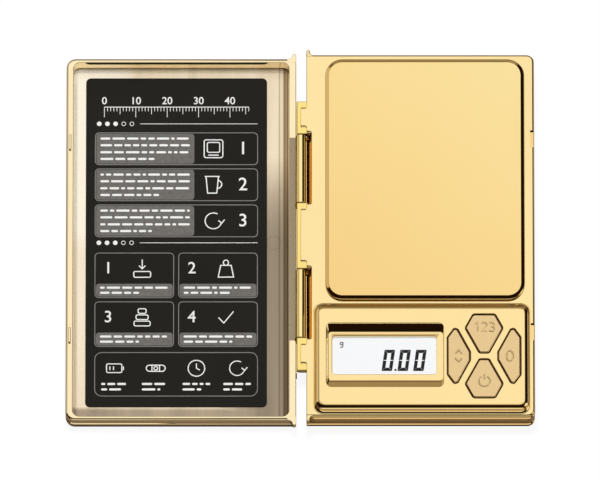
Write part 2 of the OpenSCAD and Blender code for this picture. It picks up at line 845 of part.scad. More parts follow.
module fixed_screws() {
    color("gray") at_hinge()
        for (y = cell_hole_y) {
            rod([beam_x, cell_y0 + y], foot_h, foot_h + cell_head_h, cell_head_r);
            rod([beam_x, cell_y0 + y], foot_h, cell_top - thread_end, cell_screw_r);
        }
}

// Bending beam with two joined round windows across its middle
module load_cell() {
    window_r = cell_h / 2 - window_web;
    color("lightsteelblue") at_hinge() difference() {
        translate([beam_x - cell_w / 2, cell_y0, cell_z]) cube([cell_w, cell_len, cell_h]);
        for (side = [-1, 1])
            translate([beam_x - cell_w / 2 - past, plat_mid[1] + side * gauge_y, cell_z + cell_h / 2])
                rotate([0, 90, 0]) cylinder(h = cell_w + 2 * past, r = window_r);
        translate([beam_x - cell_w / 2 - past, plat_mid[1] - gauge_y, cell_z + (cell_h - slit_h) / 2])
            cube([cell_w + 2 * past, 2 * gauge_y, slit_h]);
        for (y = cell_hole_y) {
            rod([beam_x, cell_y0 + y], cell_z - past, cell_top + past, cell_hole_r);
            rod([beam_x, cell_y1 - y], cell_z - past, cell_top + past, cell_hole_r);
        }
    }
}

module strain_gauges() {
    color("peru") at_hinge()
        for (side = [-1, 1])
            for (z = [cell_top, cell_z - gauge[2]])
                translate([beam_x - gauge[0] / 2, plat_mid[1] + side * gauge_y - gauge[1] / 2, z])
                    cube(gauge);
}

module load_cell_leads() {
    z = cell_top - lead_drop;
    side_x = beam_x - cell_w / 2;
    color("red") at_hinge()
        for (i = [0 : 3]) {
            x = side_x - (i + 1) * lead_pitch;
            y = cell_y0 + spacer_len + i * lead_pitch;
            wire([[side_x, y, z], [x + lead_bend, y, z], [x, y - lead_bend, z],
                [x, board_high[1] + lead_slope, z],
                [x, board_high[1] - solder_in, board_top + lead_r]], lead_r);
        }
}

module overload_screw() {
    color("gray") at_hinge() difference() {
        rod([beam_x, stop_y], foot_h + stop_low, cell_z - stop_gap, cell_screw_r);
        translate([beam_x, stop_y, foot_h]) cylinder(h = hex_h, r = hex_r, $fn = 6);
    }
}

// The cells lie head to tail
module battery_cells() {
    color("darkslategray") at_hinge()
        for (i = [0, 1])
            translate([i == 0 ? aaa_x0 : aaa_x1, i == 0 ? aaa_y0 : aaa_y1, aaa_z])
                rotate([i == 0 ? -90 : 90, 0, 0]) {
                    cylinder(h = aaa_len - nub_len, r = aaa_r);
                    cylinder(h = aaa_len, r = nub_r);
                }
}

module battery_contacts() {
    w = contact_w;
    tab_z = bay_top + wire_gap + 2 * wire_r;
    color("silver") at_hinge() {
        for (x = [aaa_x0, aaa_x1]) {
            translate([x - w / 2, bay_y0, aaa_z - w / 2]) cube([w, contact_t, tab_z - aaa_z + w / 2]);
            translate([x, bay_y0 + contact_t / 2, aaa_z]) rotate([-90, 0, 0])
                cylinder(h = contact_t / 2 + bump_t, r = contact_r);
            translate([x, aaa_y1, aaa_z]) rotate([-90, 0, 0])
                cylinder(h = contact_t / 2 + bump_t, r = contact_r);
        }
        translate([aaa_x0 - w / 2, bay_y1 - contact_t, aaa_z - w / 2]) cube([aaa_pitch + w, contact_t, w]);
    }
}

module battery_leads() {
    z = bay_top + wire_r + wire_gap;
    color("firebrick") at_hinge()
        for (x = [aaa_x0, aaa_x1])
            wire([[x, bay_y0, z], [x, bay_y0 - lead_slope, z],
                [x, board_high[1] + wire_slope, board_top + solder_in],
                [x, board_high[1] - solder_in, board_top + wire_r]], wire_r);
}

module battery_door() {
    grip_y = (bay_y0 + bay_y1) / 2;
    color("goldenrod") at_hinge() difference() {
        union() {
            intersection() {
                tray_outside();
                translate([door_x0, bay_y0 + door_gap, foot_h])
                    cube([base_reach - door_x0, bay_y1 - bay_y0 - 2 * door_gap, door_t]);
            }
            translate([door_x0, bay_y0 + door_gap - tongue_w, tongue_z])
                cube([tray_x1 - door_x0, bay_y1 - bay_y0 + 2 * (tongue_w - door_gap),
                    foot_h + door_t - tongue_z]);
        }
        for (i = [0 : 3])
            translate([base_reach - grip_in - grip_pitch * i, grip_y - grip_len / 2, foot_h - past])
                cube([grip_w, grip_len, past + grip_deep]);
    }
}

module rubber_feet() {
    color("black") at_hinge()
        for (spot = foot_spots) rod(spot, 0, screw_seat, foot_r);
}

module case_screws() {
    color("silver") at_hinge()
        for (spot = foot_spots) {
            rod(spot, screw_seat, screw_seat + screw_head_h, screw_head_r);
            rod(spot, screw_seat, screw_top, screw_r);
        }
}

// Section of the arm that carries a lid knuckle, from the rim up to the barrel
module lid_arm(y0, y1) {
    low = lid_rim_z - axis_z - 0.6;
    translate([0, y1, axis_z]) rotate([90, 0, 0]) linear_extrude(y1 - y0)
        polygon([[-arm_x, low], [-leaf_gap, low], [-0.9, -0.9], [0, 0], [-1, 1.1], [-arm_x, -1]]);
}

module lid_knuckle_half() {
    hinge_rod(lid_knuckle_y0 + knuckle_gap, lid_knuckle_y1 - knuckle_gap, knuckle_r);
    lid_arm(lid_knuckle_y0 + knuckle_gap, lid_knuckle_y1 - knuckle_gap);
}

module lid_shell() {
    color("khaki") at_hinge() difference() {
        union() {
            difference() {
                soft_block([-lid_reach, -half_len, lid_lift], [-leaf_gap, half_len, lid_rim_z],
                    corner_r + 0.6, lid_rim_r, lid_edge_r, right = 5);
                slab([-lid_in_x1, -lid_in_y], [-lid_in_x0, lid_in_y],
                    lid_floor_z, lid_rim_z + past, lid_in_r);
            }
            ridges(-leaf_gap - ridge_w / 2, lid_rim_z - ridge_h, lid_rim_z - lid_rim_r / 2);
            both_ends() lid_knuckle_half();
            both_ends()
                translate([-catch_x - catch_t / 2, catch_y - catch_len / 2, lid_rim_z - lid_rim_r])
                    cube([catch_t, catch_len, catch_h + lid_rim_r]);
        }
        hinge_rod(-lid_knuckle_y1 - past, lid_knuckle_y1 + past, bore_r);
    }
}

module lid_liner() {
    low = [-lid_in_x1 + liner_gap, -lid_in_y + liner_gap];
    high = [-lid_in_x0 - liner_gap, lid_in_y - liner_gap];
    top = [liner_top, liner_top];
    deep = [liner_top + liner_draft, liner_top + liner_draft];
    color("linen") at_hinge() difference() {
        slab(low, high, lid_floor_z, liner_top_z, lid_in_r);
        hull() {
            slab(low + top, high - top, liner_top_z, liner_top_z + past, lid_in_r, $fn = 32);
            slab(low + deep, high - deep, liner_z, liner_top_z, lid_in_r, $fn = 32);
        }
    }
}

module instruction_card() {
    color([0.14, 0.13, 0.12]) at_hinge() slab(card_low, card_high, liner_z, liner_z + card_t, card_r);
}

module hinge_pin() {
    color("silver") at_hinge() hinge_rod(-end_knuckle_y1, end_knuckle_y1, pin_r);
}

base_tray();
deck_cover();
display_panel();
weighing_platform();
platform_carrier();
carrier_spacer();
carrier_screws();
load_cell();
fixed_spacer();
fixed_screws();
strain_gauges();
load_cell_leads();
overload_screw();
main_board();
controller_chip();
amplifier_chip();
board_capacitors();
board_screws();
switch_bodies();
lcd_window();
lcd_glass();
lcd_backlight();
contact_strips();
count_key();
power_key();
mode_key();
tare_key();
plunger([0, end_switch]);  // count_plunger
plunger([0, -end_switch]);  // power_plunger
plunger([-side_switch, 0]);  // mode_plunger
plunger([side_switch, 0]);  // tare_plunger
battery_cells();
battery_contacts();
battery_leads();
battery_door();
rubber_feet();
case_screws();
lid_shell();
lid_liner();
instruction_card();
hinge_pin();
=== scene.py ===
import json
import bpy
import bmesh
import numpy as np
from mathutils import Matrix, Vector
from mathutils.geometry import tessellate_polygon


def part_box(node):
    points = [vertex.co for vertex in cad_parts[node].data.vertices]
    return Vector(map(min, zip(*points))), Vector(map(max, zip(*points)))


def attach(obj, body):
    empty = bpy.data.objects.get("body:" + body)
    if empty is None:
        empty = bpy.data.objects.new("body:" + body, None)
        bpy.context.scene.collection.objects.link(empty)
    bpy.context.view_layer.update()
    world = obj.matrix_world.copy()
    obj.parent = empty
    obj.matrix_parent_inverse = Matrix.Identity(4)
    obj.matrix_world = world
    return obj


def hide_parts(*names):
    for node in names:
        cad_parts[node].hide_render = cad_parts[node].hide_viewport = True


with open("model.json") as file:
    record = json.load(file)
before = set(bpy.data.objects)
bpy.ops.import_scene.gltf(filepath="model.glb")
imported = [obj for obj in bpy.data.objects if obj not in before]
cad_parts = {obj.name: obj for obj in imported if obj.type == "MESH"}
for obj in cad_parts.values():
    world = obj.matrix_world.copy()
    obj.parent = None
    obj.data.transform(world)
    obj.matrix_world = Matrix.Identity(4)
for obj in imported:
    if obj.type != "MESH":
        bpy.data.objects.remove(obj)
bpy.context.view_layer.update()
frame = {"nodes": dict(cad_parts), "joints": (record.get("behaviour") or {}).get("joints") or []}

mm = 0.001
support = 0.03  # a flat strip this wide in mm keeps a rounded edge from tinting the flat beside it
lap = 0.02  # mm that a small form is sunk into the one that carries it
slim = 0.01  # mm that keeps two rounds or two faces from meeting
strokeRoot = 0.05  # mm that a raised line reaches down into its face
endLift = 0.0005  # mm that keeps a point on a straight end wall, so that the corner's shading stays near it
grainDepth = 0.0001  # metres between the low and the high places of a fine bump
noiseSpan = (0.3, 0.7)  # most values of a noise lie between these
sharpFrom = 40  # degrees between two faces, from which their edge shows as sharp
jointAt = {joint["name"]: joint for joint in frame["joints"]}
hingeAt = np.array(jointAt["lid_hinge"]["pos_m"]) / mm
print("frame loaded:", len(frame["nodes"]), "nodes")


def nodeBox(node):  # lowest and highest corner of a CAD node in mm
    low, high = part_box(node)
    return np.array(low) / mm, np.array(high) / mm


def unit(rows):
    return rows / np.linalg.norm(rows, axis=1)[:, None]


# Outlines. A corner (x, y, r) of a closed outline becomes an arc of radius r that touches both of its
# sides: its centre lies r / sin(half the corner's angle) along the bisector. Each sample of the arc keeps
# its centre and its outward direction, so that the outline can be moved in or out by any distance
def cornerPath(corners, steps=7):
    c = np.array(corners, float)
    area = np.sum(c[:, 0] * np.roll(c[:, 1], -1) - np.roll(c[:, 0], -1) * c[:, 1])
    if area < 0:
        c = c[::-1]
    p, r = c[:, :2], c[:, 2]
    back, on = unit(np.roll(p, 1, 0) - p), unit(np.roll(p, -1, 0) - p)
    turn = np.sign(back[:, 1] * on[:, 0] - back[:, 0] * on[:, 1])
    half = np.arccos(np.clip(np.sum(back * on, 1), -1, 1)) / 2
    bisector = unit(back + on)
    centre = p + bisector * (r / np.sin(half))[:, None]
    share = np.linspace(0, 1, steps)[None, :]
    first = np.arctan2(back[:, 0], -back[:, 1])
    angle = first[:, None] + turn[:, None] * (np.pi - 2 * half)[:, None] * share
    normal = np.stack([np.cos(angle), np.sin(angle)], -1)
    each = lambda a: np.repeat(a, steps, 0)
    return {"centre": each(centre), "normal": normal.reshape(-1, 2), "radius": each(r),
        "turn": each(turn), "inward": each(bisector), "sine": each(np.sin(half))}


# The outline moved in by a distance d: a convex arc shrinks to radius r - d, and past its centre its
# samples slide together along the bisector; a hollow arc grows to radius r + d
def inset(path, d):
    left = path["radius"] - d
    convex = path["centre"] + path["normal"] * left[:, None]
    beyond = path["centre"] + path["inward"] * (-left / path["sine"])[:, None]
    convex = np.where((left < 0)[:, None], beyond, convex)
    hollow = path["centre"] - path["normal"] * (path["radius"] + d)[:, None]
    return np.where((path["turn"] > 0)[:, None], convex, hollow)


def rectPath(low, high, r, steps=9):
    (x0, y0), (x1, y1) = low, high
    return cornerPath([(x0, y0, r), (x1, y0, r), (x1, y1, r), (x0, y1, r)], steps)


def circlePath(spot, r, steps=12):
    return rectPath((spot[0] - r, spot[1] - r), (spot[0] + r, spot[1] + r), r, steps)


def mirrored(half):  # a half outline for positive y, and its mirror image in the x axis
    return half + [(x, -y, r) for x, y, r in reversed(half)]


# Edge profiles, as (inset, height) pairs. A quarter round of radius r from the flat to the wall is
# inset = r - r sin(a), drop = r - r cos(a) for a from 0 to a right angle
def roundEdge(z, r, down, steps=8, toWall=True):
    a = np.linspace(0, np.pi / 2, steps)
    pairs = np.stack([r - r * np.sin(a), z - down * (r - r * np.cos(a))], -1)
    pairs = np.vstack([[r + support, z], pairs, [0, z - down * (r + support)]])
    return pairs if toWall else pairs[::-1]


def wallProfile(z0, z1, r0, r1, steps=8):  # a wall from z0 to z1 with both of its edges rounded
    down = np.sign(z0 - z1)
    return np.vstack([roundEdge(z0, r0, down, steps), roundEdge(z1, r1, -down, steps, toWall=False)])


# A parting line round a wall, from its foot up: a slope inwards that catches the light, then an undercut.
# Its heights are shares of its depth, so that the slope shows in full from the camera's height
def partLine(z, deep):
    return [(0, z - 4.4 * deep), (deep, z - 3.3 * deep), (deep, z - 0.1), (0, z)]


def rings(path, profile):
    return [(inset(path, d), z) for d, z in profile]


# Rings of a leaf, stretched in x so that the side at hingeSide is moved in by only a share of each inset.
# A pocket (x of its back, lowest and highest y) keeps its walls where they are
def leafRings(path, profile, hingeSide, freeSide, share=0.25, pocket=None, margin=0.1):
    found = []
    for d, z in profile:
        flat = inset(path, d)
        if pocket:
            back, low, high = pocket
            rise = np.abs(flat[:, 1])
            inside = (flat[:, 0] > back - d - margin) & (np.abs(rise - (low + high) / 2)
                < (high - low) / 2 + d + 2 * margin)
            flat[:, 0] = np.where(inside, np.maximum(flat[:, 0], back), flat[:, 0])
            flat[:, 1] = np.where(inside, np.sign(flat[:, 1]) * np.clip(rise, low, high), flat[:, 1])
        turn = np.sign(hingeSide - freeSide)
        reach = (hingeSide - freeSide) - turn * d
        flat[:, 0] = freeSide + (flat[:, 0] - freeSide) * (reach + turn * d * (1 - share)) / reach
        found.append((flat, z))
    return found


# One closed solid between its first and last ring, or with a pocket sunk in from its last ring. Holes run
# from the first face to the last, or to the pocket's floor. Each is a list of rings of equal length
def ringSolid(outer, holes=(), pocket=None):
    points, faces, count = [], [], 0

    def strip(loops):
        nonlocal count
        n = len(loops[0][0])
        points.extend(np.column_stack([flat, np.full(n, z)]) for flat, z in loops)
        grid = count + np.arange(len(loops) * n).reshape(len(loops), n)
        count += grid.size
        a, b = grid[:-1], grid[1:]
        faces.extend(np.stack([a, np.roll(a, -1, 1), np.roll(b, -1, 1), b], -1).reshape(-1, 4).tolist())
        return grid[0], grid[-1]

    def cap(rims):
        allPoints = np.vstack(points)
        kept = []
        for rim in rims:
            spot = allPoints[rim]
            gap = np.linalg.norm(spot - np.roll(spot, 1, 0), axis=1)
            kept.append(rim[gap > 1e-5])
        index = np.concatenate(kept)
        found = tessellate_polygon([[Vector((x, y, 0)) for x, y in allPoints[rim, :2]] for rim in kept])
        faces.extend([[int(index[i]) for i in triangle] for triangle in found])

    outFirst, outLast = strip(outer)
    ends = [strip(hole) for hole in holes]
    cap([outFirst] + [first for first, last in ends])
    lasts = [last for first, last in ends]
    if pocket is None:
        cap([outLast] + lasts)
    else:
        mouth, floor = strip(pocket)
        cap([outLast, mouth])
        cap([floor] + lasts)
    return np.vstack(points), faces


def joined(solids):
    points, faces, count = [], [], 0
    for p, f in solids:
        points.append(p)
        faces.extend([[i + count for i in face] for face in f])
        count += len(p)
    return np.vstack(points), faces


def placed(name, data):
    thing = bpy.data.objects.new(name, data)
    bpy.context.scene.collection.objects.link(thing)
    return thing


# One piece of several closed solids, each with its faces turned outwards, smooth but for its sharp edges
def makePiece(name, solids, finish, body, slot, *replaced):
    points, faces = joined(solids)
    mesh = bpy.data.meshes.new(name)
    mesh.from_pydata((points * mm).tolist(), [], faces)
    work = bmesh.new()
    work.from_mesh(mesh)
    bmesh.ops.remove_doubles(work, verts=work.verts, dist=1e-8)
    bmesh.ops.dissolve_degenerate(work, edges=work.edges, dist=1e-9)
    bmesh.ops.recalc_face_normals(work, faces=work.faces)
    work.to_mesh(mesh)
    work.free()
    mesh.polygons.foreach_set("use_smooth", np.ones(len(mesh.polygons), bool))
    mesh.set_sharp_from_angle(angle=np.radians(sharpFrom))
    mesh.materials.append(finishes[finish])
    piece = placed(name, mesh)
    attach(piece, body)
    if replaced:
        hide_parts(*replaced)


# Materials. Every finish has colour that drifts over centimetres, a fine grain in its roughness and a
# faint bump; extra layers are added by the finish that needs them
def feed(tree, socket, value):  # a link from another socket, or a plain value
    if isinstance(value, bpy.types.NodeSocket):
        tree.links.new(value, socket)
    else:
        socket.default_value = value


def addNode(tree, kind, settings=(), **inputs):
    node = tree.nodes.new("ShaderNode" + kind)
    for key, value in dict(settings).items():
        setattr(node, key, value)
    for key, value in inputs.items():
        feed(tree, node.inputs[key.replace("_", " ")], value)
    return node


def setShader(material, **inputs):
    shader = material.node_tree.nodes["Principled BSDF"]
    for key, value in inputs.items():
        feed(material.node_tree, shader.inputs[key.replace("_", " ")], value)
    return material


def placeOn(tree):  # the place on the piece, in metres
    return tree.nodes["Texture Coordinate"].outputs["Object"]


def axisOf(tree, vector, axis):
    return addNode(tree, "SeparateXYZ", Vector=vector).outputs[axis]


def noiseAt(tree, scale, detail=3.0, stretch=(1, 1, 1)):
    mapping = addNode(tree, "Mapping", Vector=placeOn(tree), Scale=stretch)
    noise = addNode(tree, "TexNoise", Vector=mapping.outputs["Vector"], Scale=scale, Detail=detail)
    return noise.outputs["Fac"]


def combine(tree, operation, a, b):
    node = addNode(tree, "Math", {"operation": operation})
    feed(tree, node.inputs[0], a)
    feed(tree, node.inputs[1], b)
    return node.outputs[0]


def ramp(tree, value, stops):
    node = addNode(tree, "ValToRGB", Fac=value)
    elements = node.color_ramp.elements
    elements[0].position, elements[1].position = stops[0][0], stops[-1][0]
    for place, colour in stops[1:-1]:
        elements.new(place)
    for element, (place, colour) in zip(elements, stops):
        element.color = (*colour, 1)
    return node.outputs["Color"]


def ranged(tree, value, low, high, fromLow=0.0, fromHigh=1.0, kind="LINEAR"):
    node = addNode(tree, "MapRange", {"interpolation_type": kind}, Value=value, From_Min=fromLow,
        From_Max=fromHigh, To_Min=low, To_Max=high)
    return node.outputs["Result"]


def smoothStep(tree, value, start, end):
    return ranged(tree, value, 0.0, 1.0, start, end, "SMOOTHSTEP")


def bumpFrom(tree, height, strength, depth):
    return addNode(tree, "Bump", Strength=strength, Distance=depth, Height=height)


def makeFinish(name, colour, rough=0.4, metal=0.0, drift=0.06, grain=600.0, roughDrift=0.15, bump=0.02,
        stretch=(1, 1, 1), driftScale=22.0, coat=0.0, gleam=0.5):
    material = bpy.data.materials.new(name)
    material.use_nodes = True
    tree = material.node_tree
    addNode(tree, "TexCoord")
    slow, fine = noiseAt(tree, driftScale, 2.0), noiseAt(tree, grain, 4.0, stretch)
    stops = [(place, tuple(min(c * (1 + change), 1.0) for c in colour))
        for place, change in zip(noiseSpan, (-drift, drift))]
    setShader(material, Base_Color=ramp(tree, slow, stops), Specular_IOR_Level=gleam, Metallic=metal,
        Roughness=ranged(tree, fine, rough * (1 - roughDrift), rough * (1 + roughDrift), *noiseSpan))
    if coat:
        setShader(material, Coat_Weight=coat, Coat_Roughness=0.08)
    if bump:
        setShader(material, Normal=bumpFrom(tree, fine, bump, grainDepth).outputs["Normal"])
    return material


# Gold plating on moulded plastic: metal, nearly a mirror, over a surface that waves slowly by a few
# hundredths of a millimetre and has a faint orange peel
def makeGold(name, colour, rough=0.05, drift=0.02, wave=0.0002, peel=0.05, waveScale=26.0, peelScale=150.0):
    material = makeFinish(name, colour, rough, 1.0, drift, grain=5000.0, roughDrift=0.2, bump=0.0)
    tree = material.node_tree
    waves = bumpFrom(tree, noiseAt(tree, waveScale, 0.0), 1.0, wave)
    skin = bumpFrom(tree, noiseAt(tree, peelScale, 0.0), peel, grainDepth)
    tree.links.new(waves.outputs["Normal"], skin.inputs["Normal"])
    return setShader(material, Normal=skin.outputs["Normal"])


# A painted reflection: a colour that changes steadily across the piece, share = a x + b y + c, with x and y
# in mm, plus streaks
def addGradient(material, across, along, start, streak, stops):
    tree = material.node_tree
    dot = addNode(tree, "VectorMath", {"operation": "DOT_PRODUCT"})
    feed(tree, dot.inputs[0], placeOn(tree))
    feed(tree, dot.inputs[1], (across / mm, along / mm, 0))
    share = combine(tree, "ADD", dot.outputs["Value"], start)
    lines = combine(tree, "SUBTRACT", noiseAt(tree, 40.0, 2.0), 0.5)
    share = combine(tree, "ADD", share, combine(tree, "MULTIPLY", lines, streak))
    return setShader(material, Base_Color=ramp(tree, share, stops))


# Satin on level faces, polished on the edges round them: the surface's own upward share picks the roughness
def polishEdges(material, satin, polished=0.05, level=(0.985, 0.999)):
    tree = material.node_tree
    upward = axisOf(tree, addNode(tree, "NewGeometry").outputs["Normal"], "Z")
    return setShader(material, Roughness=ranged(tree, upward, polished, satin, *level))


# The liner is thinly plated, a fifth a mirror. Its colour holds painted shade and painted reflection: cream
# at the rear and left, darkening to taupe towards the hinge in front and to a dark strip along the front
# foot, with streaks along it; across its lip and hollow at the hinge side run painted bands of reflection,
# dark and light. Places are in mm in the frame, the moulded steps' in mm from the hinge
linerShadePaint = {
    "metal": 0.2, "hinge": ((-40, -8), (46, -2)), "rear": ((-62, -50), 0.26), "front": ((10, -4), 0.24),
    "foot": ((-52.5, -55), 0.8), "streaks": 0.5,
    # painted shade: from cream where the liner is lit to dark taupe where it is shaded
    "tones": [(0.0, (0.93, 0.85, 0.70)), (0.27, (0.82, 0.69, 0.50)), (0.65, (0.46, 0.37, 0.255)),
        (1.0, (0.26, 0.205, 0.14))],
    # painted reflection: dark and light bands laid across the liner's lip and hollow at the hinge side
    "stepsAt": (-7.3, -3.85),
    "steps": [(0.0, (1, 1, 1)), (0.1, (0.55, 0.5, 0.42)), (0.2, (1, 1, 1)), (0.42, (0.95, 0.95, 0.92)),
        (0.5, (0.34, 0.27, 0.17)), (0.63, (0.36, 0.29, 0.2)), (0.72, (0.62, 0.55, 0.43)),
        (0.86, (0.34, 0.27, 0.17)), (0.94, (0.75, 0.66, 0.5)), (1.0, (0.75, 0.66, 0.5))],
}


def makeLinerGold():
    material = makeGold("linerShadedGold", (0.9, 0.8, 0.6), 0.25, 0.03, 0.0003, 0.1)
    tree = material.node_tree
    times = lambda a, b: combine(tree, "MULTIPLY", a, b)
    larger = lambda a, b: combine(tree, "MAXIMUM", a, b)
    along = lambda axis, span: smoothStep(tree, axisOf(tree, placeOn(tree), axis), span[0] * mm, span[1] * mm)
    hingeShadeShare = times(*(along(axis, span) for axis, span in zip("XY", linerShadePaint["hinge"])))
    rear, front, foot = (times(along(axis, linerShadePaint[side][0]), linerShadePaint[side][1])
        for axis, side in (("X", "rear"), ("Y", "front"), ("Y", "foot")))
    share = larger(larger(rear, front), larger(foot, hingeShadeShare))
    streaks = combine(tree, "SUBTRACT", noiseAt(tree, 30.0, 2.0, (6, 0.3, 1)), 0.5)
    share = combine(tree, "ADD", share, times(streaks, linerShadePaint["streaks"]))
    start, end = hingeAt[0] + np.array(linerShadePaint["stepsAt"])
    across = ranged(tree, times(axisOf(tree, placeOn(tree), "X"), 1 / mm), 0, 1, start, end)
    blend = addNode(tree, "MixRGB", {"blend_type": "MULTIPLY"}, Fac=1.0,
        Color1=ramp(tree, share, linerShadePaint["tones"]),
        Color2=ramp(tree, across, linerShadePaint["steps"]))
    return setShader(material, Metallic=linerShadePaint["metal"], Base_Color=blend.outputs[0])


# Gold finishes: colour, roughness, drift of the colour, depth of the waves. They are copies of one plating:
# the lid's paler copy is painted brighter light, and the body's deeper, browner copy, on the tray, is painted
# shade on its walls
goldFinishes = {
    "deckGold": ((0.99, 0.77, 0.375), 0.05, 0.02, 0.0001),
    "panelGold": ((0.99, 0.755, 0.36), 0.05, 0.02, 0.0005),
    "bodyGold": ((0.96, 0.66, 0.27), 0.05, 0.02, 0.0002),
    "lidGold": ((1.0, 0.83, 0.52), 0.05, 0.02, 0.0002),
    "hingeGold": ((1.0, 0.80, 0.36), 0.04, 0.02, 0.0),
    "lemonGold": ((1.0, 0.755, 0.25), 0.07, 0.02, 0.0),
    "platformGold": ((0.95, 0.675, 0.28), 0.2, 0.03, 0.0),
    "keyGold": ((0.90, 0.66, 0.34), 0.27, 0.02, 0.0),
}
# The others: colour, roughness, metallic share, and what else differs from a plain finish
otherFinishes = {
    # painted shade: the taupe of the thin strip along the lid's rim at the hinge
    "shadeStripTaupe": ((0.3, 0.235, 0.15), 0.3, 0.2, {}),
    # painted shade: the near-black of the keys' lips and stems, which darkens the gaps round the keys
    "lipShadeBrown": ((0.05, 0.028, 0.012), 0.45, 0.0, {}),
    "carrierPlastic": ((0.05, 0.05, 0.055), 0.5, 0.0, {}),
    "beamAlloy": ((0.72, 0.73, 0.75), 0.32, 1.0, {"stretch": (1, 14, 1)}),
    "steel": ((0.6, 0.6, 0.62), 0.25, 1.0, {}),
    "gaugeFoil": ((0.55, 0.3, 0.12), 0.35, 0.0, {}),
    "leadRed": ((0.5, 0.03, 0.02), 0.45, 0.0, {}),
    "boardGreen": ((0.01, 0.13, 0.05), 0.35, 0.0, {"drift": 0.15, "coat": 0.5}),
    "chipBlack": ((0.015, 0.015, 0.016), 0.45, 0.0, {}),
    "canSilver": ((0.7, 0.7, 0.72), 0.3, 1.0, {}),
    "switchBlack": ((0.03, 0.03, 0.032), 0.5, 0.0, {}),
    "backlight": ((0.85, 0.87, 0.88), 0.5, 0.0, {}),
    "stripRubber": ((0.3, 0.32, 0.36), 0.7, 0.0, {}),
    "cellJacket": ((0.03, 0.07, 0.16), 0.3, 0.0, {"coat": 0.5}),
    "nickel": ((0.72, 0.70, 0.66), 0.25, 1.0, {}),
    "footRubber": ((0.02, 0.02, 0.02), 0.75, 0.0, {"grain": 1500.0, "bump": 0.3}),
    "displayWhite": ((0.42, 0.423, 0.43), 0.45, 0.0, {"drift": 0.01, "bump": 0.0}),
    "segmentBlack": ((0.006, 0.006, 0.006), 0.6, 0.0, {"gleam": 0.0}),
    "cardBlack": ((0.016, 0.0145, 0.0125), 0.5, 0.0, {"drift": 0.1, "grain": 2500.0, "bump": 0.1,
        "gleam": 0.08}),
    "printGrey": ((0.15, 0.14, 0.13), 0.6, 0.0, {"drift": 0.12, "grain": 3000.0, "bump": 0.1,
        "driftScale": 900.0, "gleam": 0.1}),
    "printLine": ((0.22, 0.215, 0.205), 0.6, 0.0, {"drift": 0.08, "gleam": 0.1}),
    "printWhite": ((0.80, 0.80, 0.78), 0.6, 0.0, {"drift": 0.05}),
    "windowClear": ((0.92, 0.94, 0.95), 0.06, 0.0, {"drift": 0.0, "bump": 0.0}),
}
finishes = {name: makeGold(name, *values) for name, values in goldFinishes.items()}
for name, (colour, rough, metal, extra) in otherFinishes.items():
    finishes[name] = makeFinish(name, colour, rough, metal, **extra)
finishes["linerShadedGold"] = makeLinerGold()
polishEdges(finishes["platformGold"], 0.2)
polishEdges(finishes["keyGold"], 0.27)
# the platform's painted reflection: deeper orange towards the front and left, paler towards the rear and
# right
addGradient(finishes["platformGold"], 0.005, 0.0065, 0.18, 0.15,
    [(0.0, (0.96, 0.65, 0.25)), (0.5, (1.0, 0.735, 0.31)), (1.0, (1.0, 0.81, 0.385))])
setShader(finishes["windowClear"], Alpha=0.02)
# the display is lit from behind
setShader(finishes["displayWhite"], Emission_Color=(0.93, 0.935, 0.95, 1), Emission_Strength=0.5)
print("finishes made:", len(finishes))

# The base leaf: a tray, and a deck plate that closes it. Lengths are in mm, and spans are along y
deckHigh, trayLow = nodeBox("deck_cover")[1], nodeBox("base_tray")[0]
panelLow, panelHigh = nodeBox("display_panel")
carrierLow, carrierHigh = nodeBox("platform_carrier")
cellsLow, cellsHigh = nodeBox("battery_cells")
leaf = {
    "earOut": 1.6, "earWidth": 1.1, "earH": 3.0, "earHollow": 0.9, "gap": 1.65, "rearR": 0.3,
    "cornerR": 2.4, "straight": (1.5, 4.0), "tongueReach": 0.25, "tongueEnd": 2.0, "tongueR": 0.5,
    "notchDeep": 3.2, "notch": (10.7, 34.0), "noNotch": (0.02, 0.005), "midKnuckle": 10.9,
    "endKnuckle": (33.8, 44.6), "cutR": 0.15, "pocket": (29.2, 34.8), "pocketDeep": 1.3,
    "deckZ": deckHigh[2], "seamZ": 12.3, "wallZ": 9.7, "notchFoot": 8.8, "edgeR": 0.7, "seamR": 0.2,
    "bottomR": 2.0, "lowLine": (5.45, 0.3), "highLine": (12.0, 0.3),
}
deck = {"seatIn": ((0, 0.3), (0.5, 0)), "seatGap": 0.05, "seatR": 3.05, "slotGap": 0.5, "slotR": 2.5,
    "rimCut": 0.08, "earDrop": 0.05}
tray = {"wall": 1.5, "hingeWall": 3.0, "floor": 1.2, "inR": 1.0, "bayIn": 0.35, "bayEnd": 0.9, "bayWall": 2.4,
    "bayR": 0.3, "sillRoot": 0.5, "sill": (0.45, 33.9, 2.8, 8.6)}  # its width, half length, foot and top
rearY = deckHigh[1] - leaf["earOut"]
freeX = deckHigh[0]
nearX = hingeAt[0] + leaf["gap"]
flangeLow, flangeHigh = panelLow[:2] + deck["seatIn"][0], panelHigh[:2] - deck["seatIn"][1]


